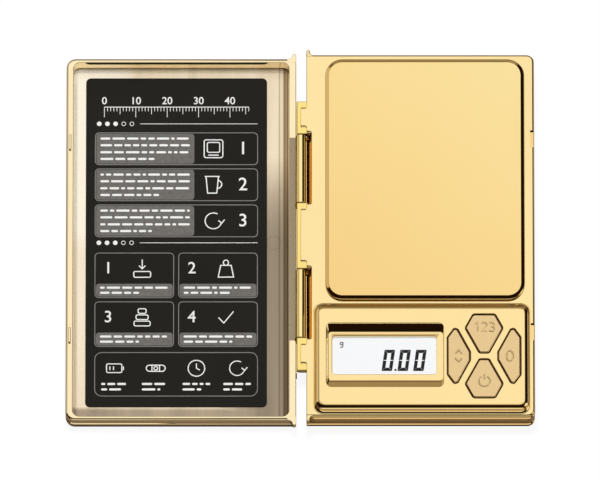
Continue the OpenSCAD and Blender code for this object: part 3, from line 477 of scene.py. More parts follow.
# The leaf from above. The deck has tongues over its knuckles and pockets for the lid's catches; the notches
# are the room for the lid's knuckles
def leafOutline(isDeck, notch):
    tip = nearX - leaf["gap"] - leaf["tongueReach"]
    small, tongueR, (shut, shutR) = leaf["cutR"], leaf["tongueR"], leaf["noNotch"]
    deep, cut = (hingeAt[0] + leaf["notchDeep"], small) if notch else (nearX + shut, shutR)
    y0, y1 = leaf["notch"]
    half = [(nearX, y0, cut), (deep, y0, cut), (deep, y1, cut), (nearX, y1, cut)]
    if isDeck:
        inner = leaf["midKnuckle"] - leaf["tongueEnd"]
        k0, k1 = leaf["endKnuckle"][0] + leaf["tongueEnd"], leaf["endKnuckle"][1] - leaf["tongueEnd"]
        half = [(tip, inner, tongueR), (nearX, inner, small)] + half + [
            (nearX, k0, small), (tip, k0, tongueR), (tip, k1, tongueR), (nearX, k1, small)]
    start, end = leaf["straight"]
    half += [(nearX, rearY, leaf["rearR"]), (nearX + start, rearY + endLift, endLift),
        (freeX - end, rearY + endLift, endLift), (freeX, rearY, leaf["cornerR"])]
    if isDeck:
        p0, p1 = leaf["pocket"]
        inX = freeX - leaf["pocketDeep"]
        half += [(freeX, p1, small), (inX, p1, small * 2), (inX, p0, small * 2), (freeX, p0, small)]
    return cornerPath(mirrored(half))


# A ridge at a hinge corner: it stands out past the end wall, with a hollow fillet back to it
def ears(wallX, side, z0, z1, hollow, top=0.3, foot=0.3, rootIn=1.0, rootR=0.05, run=0.3):
    wide, tipR, x0 = leaf["earWidth"], leaf["earWidth"] / 2 - slim, wallX - side * slim
    x1, far = x0 + side * wide, x0 + side * (wide + hollow + run)
    solids = []
    for end in (-1, 1):
        wall, tip, root = (end * (rearY + y) for y in (-lap, leaf["earOut"], -rootIn))
        path = cornerPath([(x0, root, rootR), (x0, tip, tipR), (x1, tip, tipR), (x1, wall, hollow),
                (far, wall, lap), (far, root, rootR)])
        solids.append(ringSolid(rings(path, wallProfile(z1, z0, top, foot, 5))))
    return solids


def block(low, high, top, foot, r=0.1, topR=0.1, footR=0.1, steps=4):  # a small rounded block
    return ringSolid(rings(rectPath(low, high, r, steps), wallProfile(top, foot, topR, footR, 4)))


def makeDeck():
    seat = rectPath(flangeLow - deck["seatGap"], flangeHigh + deck["seatGap"], deck["seatR"])
    slot = rectPath(carrierLow[:2] - deck["slotGap"], carrierHigh[:2] + deck["slotGap"], deck["slotR"])
    top, foot, cut = leaf["deckZ"], leaf["seamZ"], deck["rimCut"]
    holes = [rings(hole, [(-cut, top), (0, top - cut), (0, foot)]) for hole in (seat, slot)]
    profile = wallProfile(top, foot, leaf["edgeR"], leaf["seamR"], 7)
    pocket = (freeX - leaf["pocketDeep"], *leaf["pocket"])
    solids = [ringSolid(leafRings(leafOutline(True, True), profile, nearX, freeX, pocket=pocket), holes)]
    solids += ears(nearX, 1, foot, top - deck["earDrop"], leaf["earHollow"], foot=leaf["seamR"])
    makePiece("deckPlate", solids, "deckGold", "base", "gold_deck", "deck_cover")


# Hinge knuckles, drawn across the axis in x and z and carried along it. A full round is a hair smaller than
# the barrel, so that two of them can meet
hinge = {"r": 1.5, "fullR": 1.499, "bore": 0.8, "endR": 0.2, "lidKnuckle": (11.05, 33.65), "root": 0.4,
    "rootR": 0.05, "squareR": 0.4}


def knuckle(corners, y0, y1):
    path = cornerPath([(hingeAt[0] + x, hingeAt[2] + z, r) for x, z, r in corners], 12)
    bore = circlePath((hingeAt[0], hingeAt[2]), hinge["bore"])
    profile = wallProfile(y1, y0, hinge["endR"], hinge["endR"], 5)
    points, faces = ringSolid(rings(path, profile), [rings(bore, [(0, y1), (0, y0)])])
    return points[:, [0, 2, 1]], faces


def baseKnuckles():
    r, rootR, wallX = hinge["r"], hinge["rootR"], leaf["gap"] + hinge["root"]
    corners = [(-r, -r, hinge["fullR"]), (wallX, -r, rootR), (wallX, r, rootR), (-r, r, hinge["squareR"])]
    k0, k1 = leaf["endKnuckle"]
    mid = leaf["midKnuckle"]
    return [knuckle(corners, y0, y1) for y0, y1 in ((-mid, mid), (k0, k1), (-k1, -k0))]


def makeTray():
    low, top, wall = trayLow[2], leaf["seamZ"] - lap, tray["wall"]
    floorZ = low + tray["floor"]
    full, cut = leafOutline(False, False), leafOutline(False, True)
    lower = roundEdge(low, leaf["bottomR"], -1, 10)
    outer = rings(full, np.vstack([lower, partLine(*leaf["lowLine"])]))
    outer += [(inset(full, 0), leaf["notchFoot"]), (inset(cut, 0), leaf["wallZ"])]
    outer += leafRings(cut, partLine(*leaf["highLine"]), nearX, freeX)
    outer += rings(cut, roundEdge(top, leaf["seamR"], 1, 4, toWall=False))
    inside = rectPath((nearX + tray["hingeWall"], wall - rearY), (freeX - wall, rearY - wall), tray["inR"])
    bay = rectPath(cellsLow[:2] - (tray["bayIn"], tray["bayEnd"]),
        (freeX - tray["bayWall"], cellsHigh[1] + tray["bayEnd"]), tray["bayR"])
    solids = [ringSolid(outer, [rings(bay, [(0, low), (0, floorZ)])], rings(inside, [(0, top), (0, floorZ)]))]
    solids += ears(nearX, 1, leaf["deckZ"] - leaf["earH"], top, leaf["earHollow"], leaf["seamR"])
    wide, reach, sillFoot, sillTop = tray["sill"]
    solids.append(block((nearX - wide, -reach), (nearX + tray["sillRoot"], reach), sillTop, sillFoot))
    makePiece("traySkin", solids, "bodyGold", "base", "gold_body", "base_tray")
    makePiece("baseKnuckles", baseKnuckles(), "lemonGold", "base", "gold_body")


makeDeck()
makeTray()
print("base leaf made")

# The display panel: a flat flange in the deck, and a raised part with the display recess and four keys
panel = {
    "margins": ((0.5, 1.2), (0.85, 0.6)), "flangeT": 0.6, "r": 3.0, "footH": 0.7, "footGap": 0.1,
    "rimR": 0.08, "ceilingZ": 14.2, "wall": 2.4, "underR": 1.5, "recess": ((3.65, 7.55), (40.65, 28.4)),
    "recessR": 1.5, "lipR": 0.25, "crown": ((1.9, 1.9), (1.9, 2.7)), "crownR": 1.7,
    "ledge": ((1.15, 1.8), (2.1, 1.3)), "ledgeZ": 14.3, "ledgeT": 0.6, "lcdIn": 1.0, "lcdR": 0.9,
    "lcdLip": 0.12, "frameW": 3.0, "keyLip": 0.12, "keyGap": 0.4, "brim": 0.03,
    "crownTo": 88.0, "hollowTo": 45.0,  # degrees
    # the slope down to the ledge: its share of the way, and how much lower than a straight one it lies
    "slope": ((0.0, 0.0), (0.04, 0.0), (0.5, 0.1), (0.9, 0.06), (1.0, 0.0)),
}
windowLow, windowHigh = nodeBox("lcd_window")
lcdLow, lcdHigh = windowLow[:2] + panel["lcdIn"], windowHigh[:2] - panel["lcdIn"]
raiseLow, raiseHigh = panelLow[:2] + panel["margins"][0], panelHigh[:2] - panel["margins"][1]
panelTop = panelHigh[2]
seatZ = leaf["deckZ"]
keyNodes = {name: name + "_key" for name in ("count", "power", "mode", "tare")}
# a key at the end and one at the side, as corners about the middle of the four
endKey = [(-3.35, 13.6, 0.9), (-5.75, 9.2, 0.9), (-1.4, 1.2, 0.7), (1.4, 1.2, 0.7), (5.75, 9.2, 0.9),
    (3.35, 13.6, 0.9)]
sideKey = [(-11.4, 6.1, 0.9), (-11.4, -6.1, 0.9), (-9.4, -8.9, 0.5), (-8.5, -8.6, 0.5), (-4.6, -1.3, 0.9),
    (-4.6, 1.3, 0.9), (-8.5, 8.6, 0.5), (-9.4, 8.9, 0.5)]
(modeLow, modeHigh), tareHigh = nodeBox("mode_key"), nodeBox("tare_key")[1]
keyMid = np.array(((modeLow[0] + tareHigh[0]) / 2, (modeLow[1] + modeHigh[1]) / 2))


def keyPath(name):
    flip = -1 if name in ("power", "tare") else 1
    corners = endKey if name in ("count", "power") else sideKey
    return cornerPath([(keyMid[0] + flip * x, keyMid[1] + flip * y, r) for x, y, r in corners])


# Rings from one outline at the top to another at the foot, by their shares of the way across and down
def between(first, last, top, foot, across, down):
    return [((1 - w) * first + w * last, top - (top - foot) * d) for w, d in zip(across, down)]


# The crown is a quarter ellipse: across = sin(a), down = 1 - cos(a). The hollow at its foot is an eighth of
# a circle: across = 1 - cos(a), down = sin(a), both divided by their last value
def makePanel():
    body, crown, flange, opening, ledge = (rectPath(low, high, panel[r]) for low, high, r in (
            (raiseLow, raiseHigh, "r"),
            (raiseLow + panel["crown"][0], raiseHigh - panel["crown"][1], "crownR"),
            (flangeLow, flangeHigh, "r"), (lcdLow, lcdHigh, "lcdR"),
            (lcdLow - panel["ledge"][0], lcdHigh + panel["ledge"][1], "lcdR")))
    recess = rectPath(*(raiseLow + corner for corner in panel["recess"]), panel["recessR"])
    waist, under, rim = seatZ + panel["footH"], seatZ - panel["flangeT"], panel["rimR"]
    ledgeZ, ceilingZ, lip = panel["ledgeZ"], panel["ceilingZ"], panel["lcdLip"]
    outer = [(inset(crown, support), panelTop)]
    a = np.radians(np.linspace(0, panel["crownTo"], 16))
    outer += between(inset(crown, 0), inset(body, 0), panelTop, waist, np.sin(a), 1 - np.cos(a))
    a = np.radians(np.linspace(0, panel["hollowTo"], 9))
    outer += between(inset(body, 0), inset(flange, rim + panel["footGap"]), waist, seatZ,
        (1 - np.cos(a)) / (1 - np.cos(a[-1])), np.sin(a) / np.sin(a[-1]))
    outer += rings(flange, [(rim, seatZ), (0, seatZ - rim), (0, under)])
    share, bend = np.array(panel["slope"]).T
    dish = rings(recess, roundEdge(panelTop, panel["lipR"], 1, 5)[:-3] * (-1, 1))
    dish += between(inset(recess, panel["brim"]), inset(ledge, 0), panelTop - panel["lipR"], ledgeZ, share,
        share + bend)
    dish += rings(ledge, [(panel["brim"], ledgeZ)])
    dish += rings(opening, [(-lip - lap, ledgeZ), (-lip / 3, ledgeZ - lip / 3), (0, ledgeZ - lip),
            (0, ceilingZ)])
    keyEdge = np.vstack([roundEdge(panelTop, panel["keyLip"], 1, 5) * (-1, 1), (0, ceilingZ)])
    holes = [dish] + [rings(keyPath(name), keyEdge - (panel["keyGap"], 0)) for name in keyNodes]
    inside = rectPath(panelLow[:2] + panel["wall"], panelHigh[:2] - panel["wall"], panel["underR"])
    frameRing, through = (rings(opening, [(-wide, ceilingZ + lap), (-wide, ledgeZ - panel["ledgeT"])])
        for wide in (panel["frameW"], 0))
    solids = [ringSolid(outer, holes, rings(inside, [(0, under), (0, ceilingZ)])),
        ringSolid(frameRing, [through])]
    makePiece("displayPanel", solids, "panelGold", "base", "gold_deck", "display_panel")


makePanel()
print("display panel made")

# The platform's edge: a shallow slope of so many degrees and mm, a tight round, and a short wall. The slope
# begins with a soft bend over a share of its width
platform = {"r": 5.5, "slope": 24.0, "slopeW": 0.9, "bendShare": 0.25, "edgeR": 0.4, "footR": 0.1}


def makePlatform():
    low, high = nodeBox("weighing_platform")
    tilt, wide, r = np.radians(platform["slope"]), platform["slopeW"], platform["edgeR"]
    soft = wide * platform["bendShare"]
    lean, a = np.linspace(0, tilt, 6), np.linspace(tilt, np.pi / 2, 9)
    bend = np.stack([r + wide - soft * np.sin(lean) / np.sin(tilt),
            soft * (np.cos(lean) - 1) / np.sin(tilt)], -1)
    drop = (wide - soft) * np.tan(tilt) - bend[-1, 1]
    edge = np.stack([r - r * (np.sin(a) - np.sin(tilt)) / (1 - np.sin(tilt)),
            -drop - r * (np.cos(tilt) - np.cos(a))], -1)
    upper = np.vstack([[r + wide + support, 0], bend, edge]) + (0, high[2])
    lower = roundEdge(low[2], platform["footR"], -1, 4, toWall=False)[1:]
    path = rectPath(low[:2], high[:2], platform["r"], 13)
    solid = ringSolid(rings(path, np.vstack([upper, lower])))
    makePiece("weighingPlate", [solid], "platformGold", "platform", "gold_satin", "weighing_platform")


makePlatform()
print("platform made")


# A raised line: a low round section, height = h cos(a) across a width w, carried along a list of points
def strokeSolid(points, z, width, height, closed=False):
    p = np.array(points, float)
    ahead, behind = np.roll(p, -1, 0) - p, p - np.roll(p, 1, 0)
    if not closed:
        ahead[-1], behind[0] = behind[-1], ahead[0]
    run = unit(unit(ahead) + unit(behind))
    stretch = 1 / np.clip(np.sum(run * unit(ahead), 1), 0.5, 1)  # a mitre is at most twice the width
    across = np.stack([-run[:, 1], run[:, 0]], -1) * stretch[:, None]
    a = np.linspace(-np.pi / 2, np.pi / 2, 7)
    sideways, up = np.append(np.sin(a), 0) * width / 2, np.append(np.cos(a) * height, -strokeRoot)
    flat = p[:, None, :] + across[:, None, :] * sideways[None, :, None]
    grid = np.concatenate([flat, np.broadcast_to(z + up, flat.shape[:2])[..., None]], -1)
    index = np.arange(flat.shape[0] * flat.shape[1]).reshape(flat.shape[:2])
    if closed:
        index = np.vstack([index, index[:1]])
    q = np.roll(index, -1, 1)
    faces = np.stack([index[:-1], q[:-1], q[1:], index[1:]], -1).reshape(-1, 4).tolist()
    if not closed:
        faces += [index[0].tolist(), index[-1][::-1].tolist()]
    return grid.reshape(-1, 3), faces


def arcPoints(spot, r, start, end, steps=24):
    a = np.radians(np.linspace(start, end, steps))
    return np.stack([spot[0] + r * np.cos(a), spot[1] + r * np.sin(a)], -1)


def drawing(lines, spot, size, z, width, height):  # raised lines; a closed one is marked by its second value
    return [strokeSolid(np.array(line) * size + spot, z, width, height, closed) for line, closed in lines]


# Keys, each with its lip under the panel, its stem, and a raised plain sign on its face. The lip and stem are
# nearly
# black: painted shade for the gap round each key
keys = {"lipZ": (13.3, 13.9), "lip": 0.6, "capIn": 0.1, "stemIn": 0.2, "edgeR": 0.34, "stemR": 1.5,
    "signH": 0.12, "signW": 0.5,
    "switch": {"count": (0, 7.3), "power": (0, -7.3), "mode": (-8.4, 0), "tare": (8.4, 0)},
    "signAt": {"count": (0, 9.6), "power": (0, -8.3), "mode": (-8.1, 0), "tare": (8.1, 0)}}
digits = {  # inside a box of height 1, drawn about its middle
    "0": arcPoints((0, 0), 0.5, 0, 360, 25)[:-1] * (0.62, 1),
    "1": np.array([(-0.12, 0.3), (0.08, 0.5), (0.08, -0.5)]),
    "2": np.vstack([arcPoints((0, 0.22), 0.28, 160, -35, 12), [(-0.28, -0.5), (0.3, -0.5)]]),
    "3": np.vstack([arcPoints((0, 0.25), 0.25, 150, -80, 12), arcPoints((0, -0.24), 0.28, 80, -150, 12)]),
}
signs = {
    "count": [(digits[digit] * 2.9 + (x, 0), False) for digit, x in (("1", -2.35), ("2", 0.0), ("3", 2.35))],
    "power": [(arcPoints((0, 0), 1.75, 122, 418, 34), False), ([(0, 0.55), (0, 2.35)], False)],
    "mode": [([(-1.1, 0.7), (0, 1.9), (1.1, 0.7)], False), ([(1.1, -0.7), (0, -1.9), (-1.1, -0.7)], False)],
    "tare": [(digits["0"] * 3.4, True)],
}


def makeKeys():
    z0, z1 = keys["lipZ"]
    for name, node in keyNodes.items():
        low, high = nodeBox(node)
        path, top = keyPath(name), high[2] - keys["signH"]
        cap = rings(path, np.vstack([roundEdge(top, keys["edgeR"], 1, 7), (0, z1 - keys["capIn"])]))
        lip = rings(path, [(-keys["lip"], z1), (-keys["lip"], z0)])
        stem = rings(circlePath(keyMid + keys["switch"][name], keys["stemR"]),
            [(0, z0 + keys["stemIn"]), (0, low[2])])
        sign = drawing(signs[name], keyMid + keys["signAt"][name], 1, top, keys["signW"], keys["signH"])
        makePiece(name + "Cap", [ringSolid(cap)] + sign, "keyGold", name, "key_tan", node)
        makePiece(name + "Lip", [ringSolid(lip), ringSolid(stem)], "lipShadeBrown", name, "key_tan")


makeKeys()
print("keys made")

# The display: seven-bar digits that read zero, a decimal point and a small unit letter on the pale face
display = {
    "digitW": 3.35, "digitH": 7.0, "bar": 1.08, "gap": 0.035, "slant": 8.0, "thick": 0.05, "baseY": -44.85,
    "digitsAt": (25.75, 30.75, 35.75), "point": (30.15, -44.5), "pointR": 0.36, "unit": (13.1, -36.0),
    "unitH": 0.85, "unitW": 0.3,
    "letter": [(arcPoints((0, 0.25), 0.5, 0, 360, 17), False), ([(0.52, 0.75), (0.52, -0.7)], False),
        (arcPoints((0, -0.7), 0.52, 0, -150, 9), False)],
}


def flatSolid(points, z, height):
    points = np.array(points, float)
    return ringSolid([(points, z + height), (points, z - lap)])


def digitBars():
    w, h, t, g = display["digitW"], display["digitH"], display["bar"], display["gap"]
    bars = []
    for y, side in ((h, -1), (0, 1)):  # the bars along the top and the foot
        bars.append([(g, y), (w - g, y), (w - g - t, y + side * t), (g + t, y + side * t)])
    for x, side in ((0, 1), (w, -1)):
        for y0, y1 in ((0, h / 2), (h / 2, h)):
            foot = (x + side * t, y0 + (g + t if y0 == 0 else g + t / 8))
            head = (x + side * t, y1 - (g + t if y1 == h else g + t / 8))
            bars.append([(x, y0 + g), foot, head, (x, y1 - g)])
    return [np.array(bar) for bar in bars]


def makeDisplay():
    z, thick, lean = windowLow[2], display["thick"], np.tan(np.radians(display["slant"]))
    solids = []
    for x in display["digitsAt"]:
        for bar in digitBars():
            spot = np.stack([x + bar[:, 0] + bar[:, 1] * lean, display["baseY"] + bar[:, 1]], -1)
            solids.append(flatSolid(spot, z, thick))
    solids.append(flatSolid(inset(circlePath(display["point"], display["pointR"], 5), 0), z, thick))
    solids += drawing(display["letter"], display["unit"], display["unitH"], z, display["unitW"], thick)
    makePiece("displayDigits", solids, "segmentBlack", "base", "chip_black")


makeDisplay()
print("display made")

# The lid leaf: a shallow tray with the hinge knuckles on its rim, and a liner that holds the card
lidLow, lidHigh = nodeBox("lid_shell")
cardLow, cardHigh = nodeBox("instruction_card")
linerTop = nodeBox("lid_liner")[1][2]
lid = {
    "length": 73.05, "wall": 2.2, "sideWall": 1.3, "floorZ": 1.0, "shutGap": 0.2, "nearR": 0.3,
    "cornerR": 3.0, "bottomR": 2.0, "rimR": 0.75, "innerR": 0.15, "cavityR": 2.2, "earHollow": 1.5,
    "earTop": 0.12, "earRoot": 1.29, "line": (5.9, 0.3), "sill": (0.25, 44.5, 2.5), "sillRoot": 0.5,
    "sillDrop": 0.6, "catch": ((0.8, 1.6), (29.5, 34.5), 1.0), "catchIn": 0.3, "shadeStrip": ((-2.2, -0.2), 0.04),
    "shadeStripIn": 0.2,
    # the arm of its knuckles: the back and the foot about the hinge, the shoulder and its rounds
    "arm": (-2.1, -2.8), "shoulder": -1.2, "shoulderR": 0.2, "barrelIn": 0.1,
}
lid["rimZ"] = 2 * hingeAt[2] - leaf["deckZ"] - lid["shutGap"]
lidNear = hingeAt[0] - leaf["gap"]
lidFree = lidNear - lid["length"]
lidEnd = lidHigh[1] - leaf["earOut"]
cavity = rectPath((lidFree + lid["wall"], lid["sideWall"] - lidEnd),
    (lidNear - lid["wall"], lidEnd - lid["sideWall"]), lid["cavityR"], 12)


def lidKnuckles():
    r, full, rootR, bendR, wallX = hinge["r"], hinge["fullR"], hinge["rootR"], lid["shoulderR"], -leaf["gap"]
    x0, foot = lid["arm"]
    corners = [(x0, foot, rootR), (wallX, foot, rootR), (wallX, -r, bendR), (r, -r, full), (r, r, full),
        (-r - lid["barrelIn"], r, full), (x0, lid["shoulder"], bendR)]
    y0, y1 = hinge["lidKnuckle"]
    return [knuckle(corners, y0, y1), knuckle(corners, -y1, -y0)]


def makeLid():
    rim, nearR, cornerR = lid["rimZ"], lid["nearR"], lid["cornerR"]
    path = cornerPath([(lidNear, -lidEnd, nearR), (lidNear, lidEnd, nearR), (lidFree, lidEnd, cornerR),
            (lidFree, -lidEnd, cornerR)], 12)
    profile = wallProfile(lidLow[2], rim, lid["bottomR"], lid["rimR"], 12)
    profile = np.insert(profile, len(profile) // 2, partLine(*lid["line"]), 0)
    inner = roundEdge(rim, lid["innerR"], 1, 4)[:-1] * (-1, 1)
    pocket = rings(cavity, np.vstack([inner, (0, lid["floorZ"])]))
    solids = [ringSolid(leafRings(path, profile, lidNear, lidFree), (), pocket)]
    solids += ears(lidNear, -1, rim - leaf["earH"], rim + slim, lid["earHollow"], lid["earTop"],
        rootIn=lid["earRoot"])
    (x0, x1), span, tall = lid["catch"]
    for side in (1, -1):
        y0, y1 = sorted(side * y for y in span)
        low, high = (lidFree + x0, y0), (lidFree + x1, y1)
        solids.append(block(low, high, rim + tall, rim - lid["catchIn"], 0.25, 0.2, slim, 5))
    wide, reach, down = lid["sill"]
    low, high = (lidNear - lid["sillRoot"], -reach), (lidNear + wide, reach)
    solids.append(block(low, high, rim - lid["sillDrop"], lidLow[2] + down))
    makePiece("lidSkin", solids, "lidGold", "lid", "gold_body", "lid_shell")
    makePiece("lidKnuckles", lidKnuckles(), "hingeGold", "lid", "gold_body")
    # a thin taupe strip along the rim at the hinge side, behind the knuckles: painted shade, the darker
    # reflection the rim shows there
    (x0, x1), thick = lid["shadeStrip"]
    reach = hinge["lidKnuckle"][1]
    shadeStrip = rectPath((lidNear + x0, -reach), (lidNear + x1, reach), 0.1, 4)
    profile = [(0, rim - lid["shadeStripIn"]), (0, rim + thick / 2), (thick / 2, rim + thick)]
    makePiece("lidShadeStrip", [ringSolid(rings(shadeStrip, profile))], "shadeStripTaupe", "lid", "gold_body")


# The liner: its wall runs down from the lip to the floor as a quarter ellipse, run (1 - cos(a)) by sin(a).
# Two rings on its floor are the marks that ejector pins leave
liner = {"gap": 0.05, "lip": 0.34, "lipR": 0.1, "run": 1.15, "floorZ": 1.6,
    "ringsAt": ((-8.8, 1.0), (-65.8, -52.6)), "ringR": 2.2, "ringW": 0.3, "ringH": 0.05}


def makeLiner():
    gap, lipR, run, floorZ, top = liner["gap"], liner["lipR"], liner["run"], liner["floorZ"], linerTop
    start = gap + liner["lip"]
    outer = rings(cavity, [(gap, lid["floorZ"] + lap), (gap, top - lipR), (gap + lipR, top)])
    a = np.linspace(0.1, np.pi / 2, 12)
    hollow = np.stack([start + run * (1 - np.cos(a)), top - (top - floorZ) * np.sin(a)], -1)
    pocket = rings(cavity, np.vstack([(start - lipR, top), (start, top - lipR / 2), hollow,
            (start + run + lipR, floorZ)]))
    solids = [ringSolid(outer, (), pocket)]
    for x, y in liner["ringsAt"]:
        ring = arcPoints((hingeAt[0] + x, y), liner["ringR"], 0, 360, 33)[:-1]
        solids.append(strokeSolid(ring, floorZ, liner["ringW"], liner["ringH"], True))
    makePiece("cardTray", solids, "linerShadedGold", "lid", "liner_champagne", "lid_liner")


# The card: plain graduations, numbered boxes with rows of dashes, and simple drawings. Places are across
# from its left edge and down from its rear edge
card = {
    "cornerR": 1.5, "edge": 3.0, "ink": 0.012, "line": 0.26, "thin": 0.2, "boxR": 1.2, "inBox": 0.3,
    "dashH": 0.72, "dashW": (1.1, 4.4), "dashGap": 0.62, "dashEnd": 0.8, "lastRow": (0.45, 0.8),
    "scaleTop": 9.6, "scaleSpan": 46.0, "ticks": ((10, 3.4), (5, 2.4), (1, 1.4)), "tickText": (2.0, 3.4),
    "headings": (15.2, 54.8), "dots": (3, 5, 1.2, 2.6), "dotR": 0.75, "ringR": 0.62, "ruleFrom": 14.2,
    "rows": ((18.2, "plate"), (30.2, "cup"), (42.2, "turn")), "rowH": 10.6,
    "rowDashes": (0.18, 0.39, 0.61, 0.82), "rowIcon": 6.6, "rowNumber": 6.0, "greyEnd": 1.4, "greyW": 31.5,
    "iconAt": 40.6, "numberAt": 50.0, "numberBold": 0.035, "bold": 0.36, "cellW": 25.0, "cellH": 14.8,
    "cells": ((58.2, 3.0, "press"), (58.2, 29.6, "weight"), (74.4, 3.0, "stack"), (74.4, 29.6, "done")),
    "cellGrey": 4.6, "cellDashes": (11.5, 13.2), "dashIn": 1.6, "cellMiddle": 5.1, "cellNumber": (4.2, 5.4),
    "cellIcon": (0.6, 6.4), "foot": 91.2, "footH": 14.4, "footR": 2.2, "footMiddle": 5.2, "footIcon": 6.0,
    "footIcons": ("battery", "level", "clock", "turn"), "footBold": 0.34, "footDashes": (10.4, 12.2, 4.4),
}
drawn = np.random.default_rng(7)


def boxLine(x0, y0, x1, y1, r):
    return inset(rectPath((x0, y0), (x1, y1), r, 5), 0), True


def openLines(*lines):
    return [(line, False) for line in lines]


icons = {  # drawings inside a box one unit wide
    "battery": [boxLine(-0.45, -0.24, 0.36, 0.24, 0.08)] + openLines(
        [(0.44, -0.1), (0.44, 0.1)], [(-0.27, -0.1), (-0.27, 0.1)], [(-0.08, -0.1), (-0.08, 0.1)]),
    "weight": [([(-0.38, -0.45), (0.38, -0.45), (0.26, 0.16), (-0.26, 0.16)], True),
        (arcPoints((0, 0.3), 0.13, -60, 240, 12), False)],
    "cup": openLines([(-0.36, 0.4), (-0.28, -0.42), (0.16, -0.42), (0.24, 0.4)],
        arcPoints((0.2, 0.02), 0.2, 80, -90, 9), [(-0.42, 0.42), (0.3, 0.42)]),
    "turn": openLines(arcPoints((0, 0), 0.4, 60, 350, 20), [(0.24, 0.02), (0.4, -0.12), (0.54, 0.06)]),
    "press": [boxLine(-0.42, -0.46, 0.42, -0.16, 0.08)] + openLines(
        [(0, 0.46), (0, 0.0)], [(-0.16, 0.14), (0, -0.02), (0.16, 0.14)]),
    "plate": [boxLine(-0.45, -0.45, 0.45, 0.45, 0.1), boxLine(-0.3, -0.18, 0.3, 0.32, 0.08),
        ([(-0.25, -0.32), (0.25, -0.32)], False)],
    "level": [boxLine(-0.5, -0.17, 0.5, 0.17, 0.16), (arcPoints((0, 0), 0.1, 0, 360, 13)[:-1], True),
        *openLines([(-0.2, -0.14), (-0.2, 0.14)], [(0.2, -0.14), (0.2, 0.14)])],
    "clock": [(arcPoints((0, 0), 0.44, 0, 360, 25)[:-1], True), ([(0, 0.26), (0, 0), (0.18, -0.1)], False)],
    "done": openLines([(-0.36, -0.02), (-0.1, -0.3), (0.38, 0.3)]),
    "stack": [boxLine(-0.4, -0.45, 0.4, -0.2, 0.08), boxLine(-0.3, -0.12, 0.3, 0.12, 0.08),
        boxLine(-0.2, 0.2, 0.2, 0.44, 0.08)],
}


def onCard(across, down):
    return np.array((cardLow[0] + across, cardHigh[1] - down))


def numberSolid(number, spot, size, z):
    curve = bpy.data.curves.new("number", "FONT")
    curve.body, curve.size, curve.align_x, curve.align_y = str(number), size, "CENTER", "CENTER"
    curve.extrude, curve.offset = card["ink"], card["numberBold"]
    holder = bpy.data.objects.new("number", curve)
    mesh = holder.to_mesh()
    points = np.empty(len(mesh.vertices) * 3)
    mesh.vertices.foreach_get("co", points)
    faces = [list(face.vertices) for face in mesh.polygons]
    holder.to_mesh_clear()
    bpy.data.objects.remove(holder)
    return points.reshape(-1, 3) + (spot[0], spot[1], z), faces


def plateSolid(low, high, r, z):
    return flatSolid(inset(rectPath(low, high, r, 4), 0), z, card["ink"])


# Rows of rounded dashes of seeded lengths between two edges; the last row ends early
def dashSolids(left, right, downs, z):
    solids, h = [], card["dashH"]
    for row, down in enumerate(downs):
        at = left
        end = right if row < len(downs) - 1 else left + (right - left) * drawn.uniform(*card["lastRow"])
        while at < end - card["dashEnd"]:
            width = min(drawn.uniform(*card["dashW"]), end - at)
            low = onCard(at, down + h / 2)
            solids.append(plateSolid(low, low + (width, h), h / 2 - slim, z))
            at += width + card["dashGap"]
    return solids


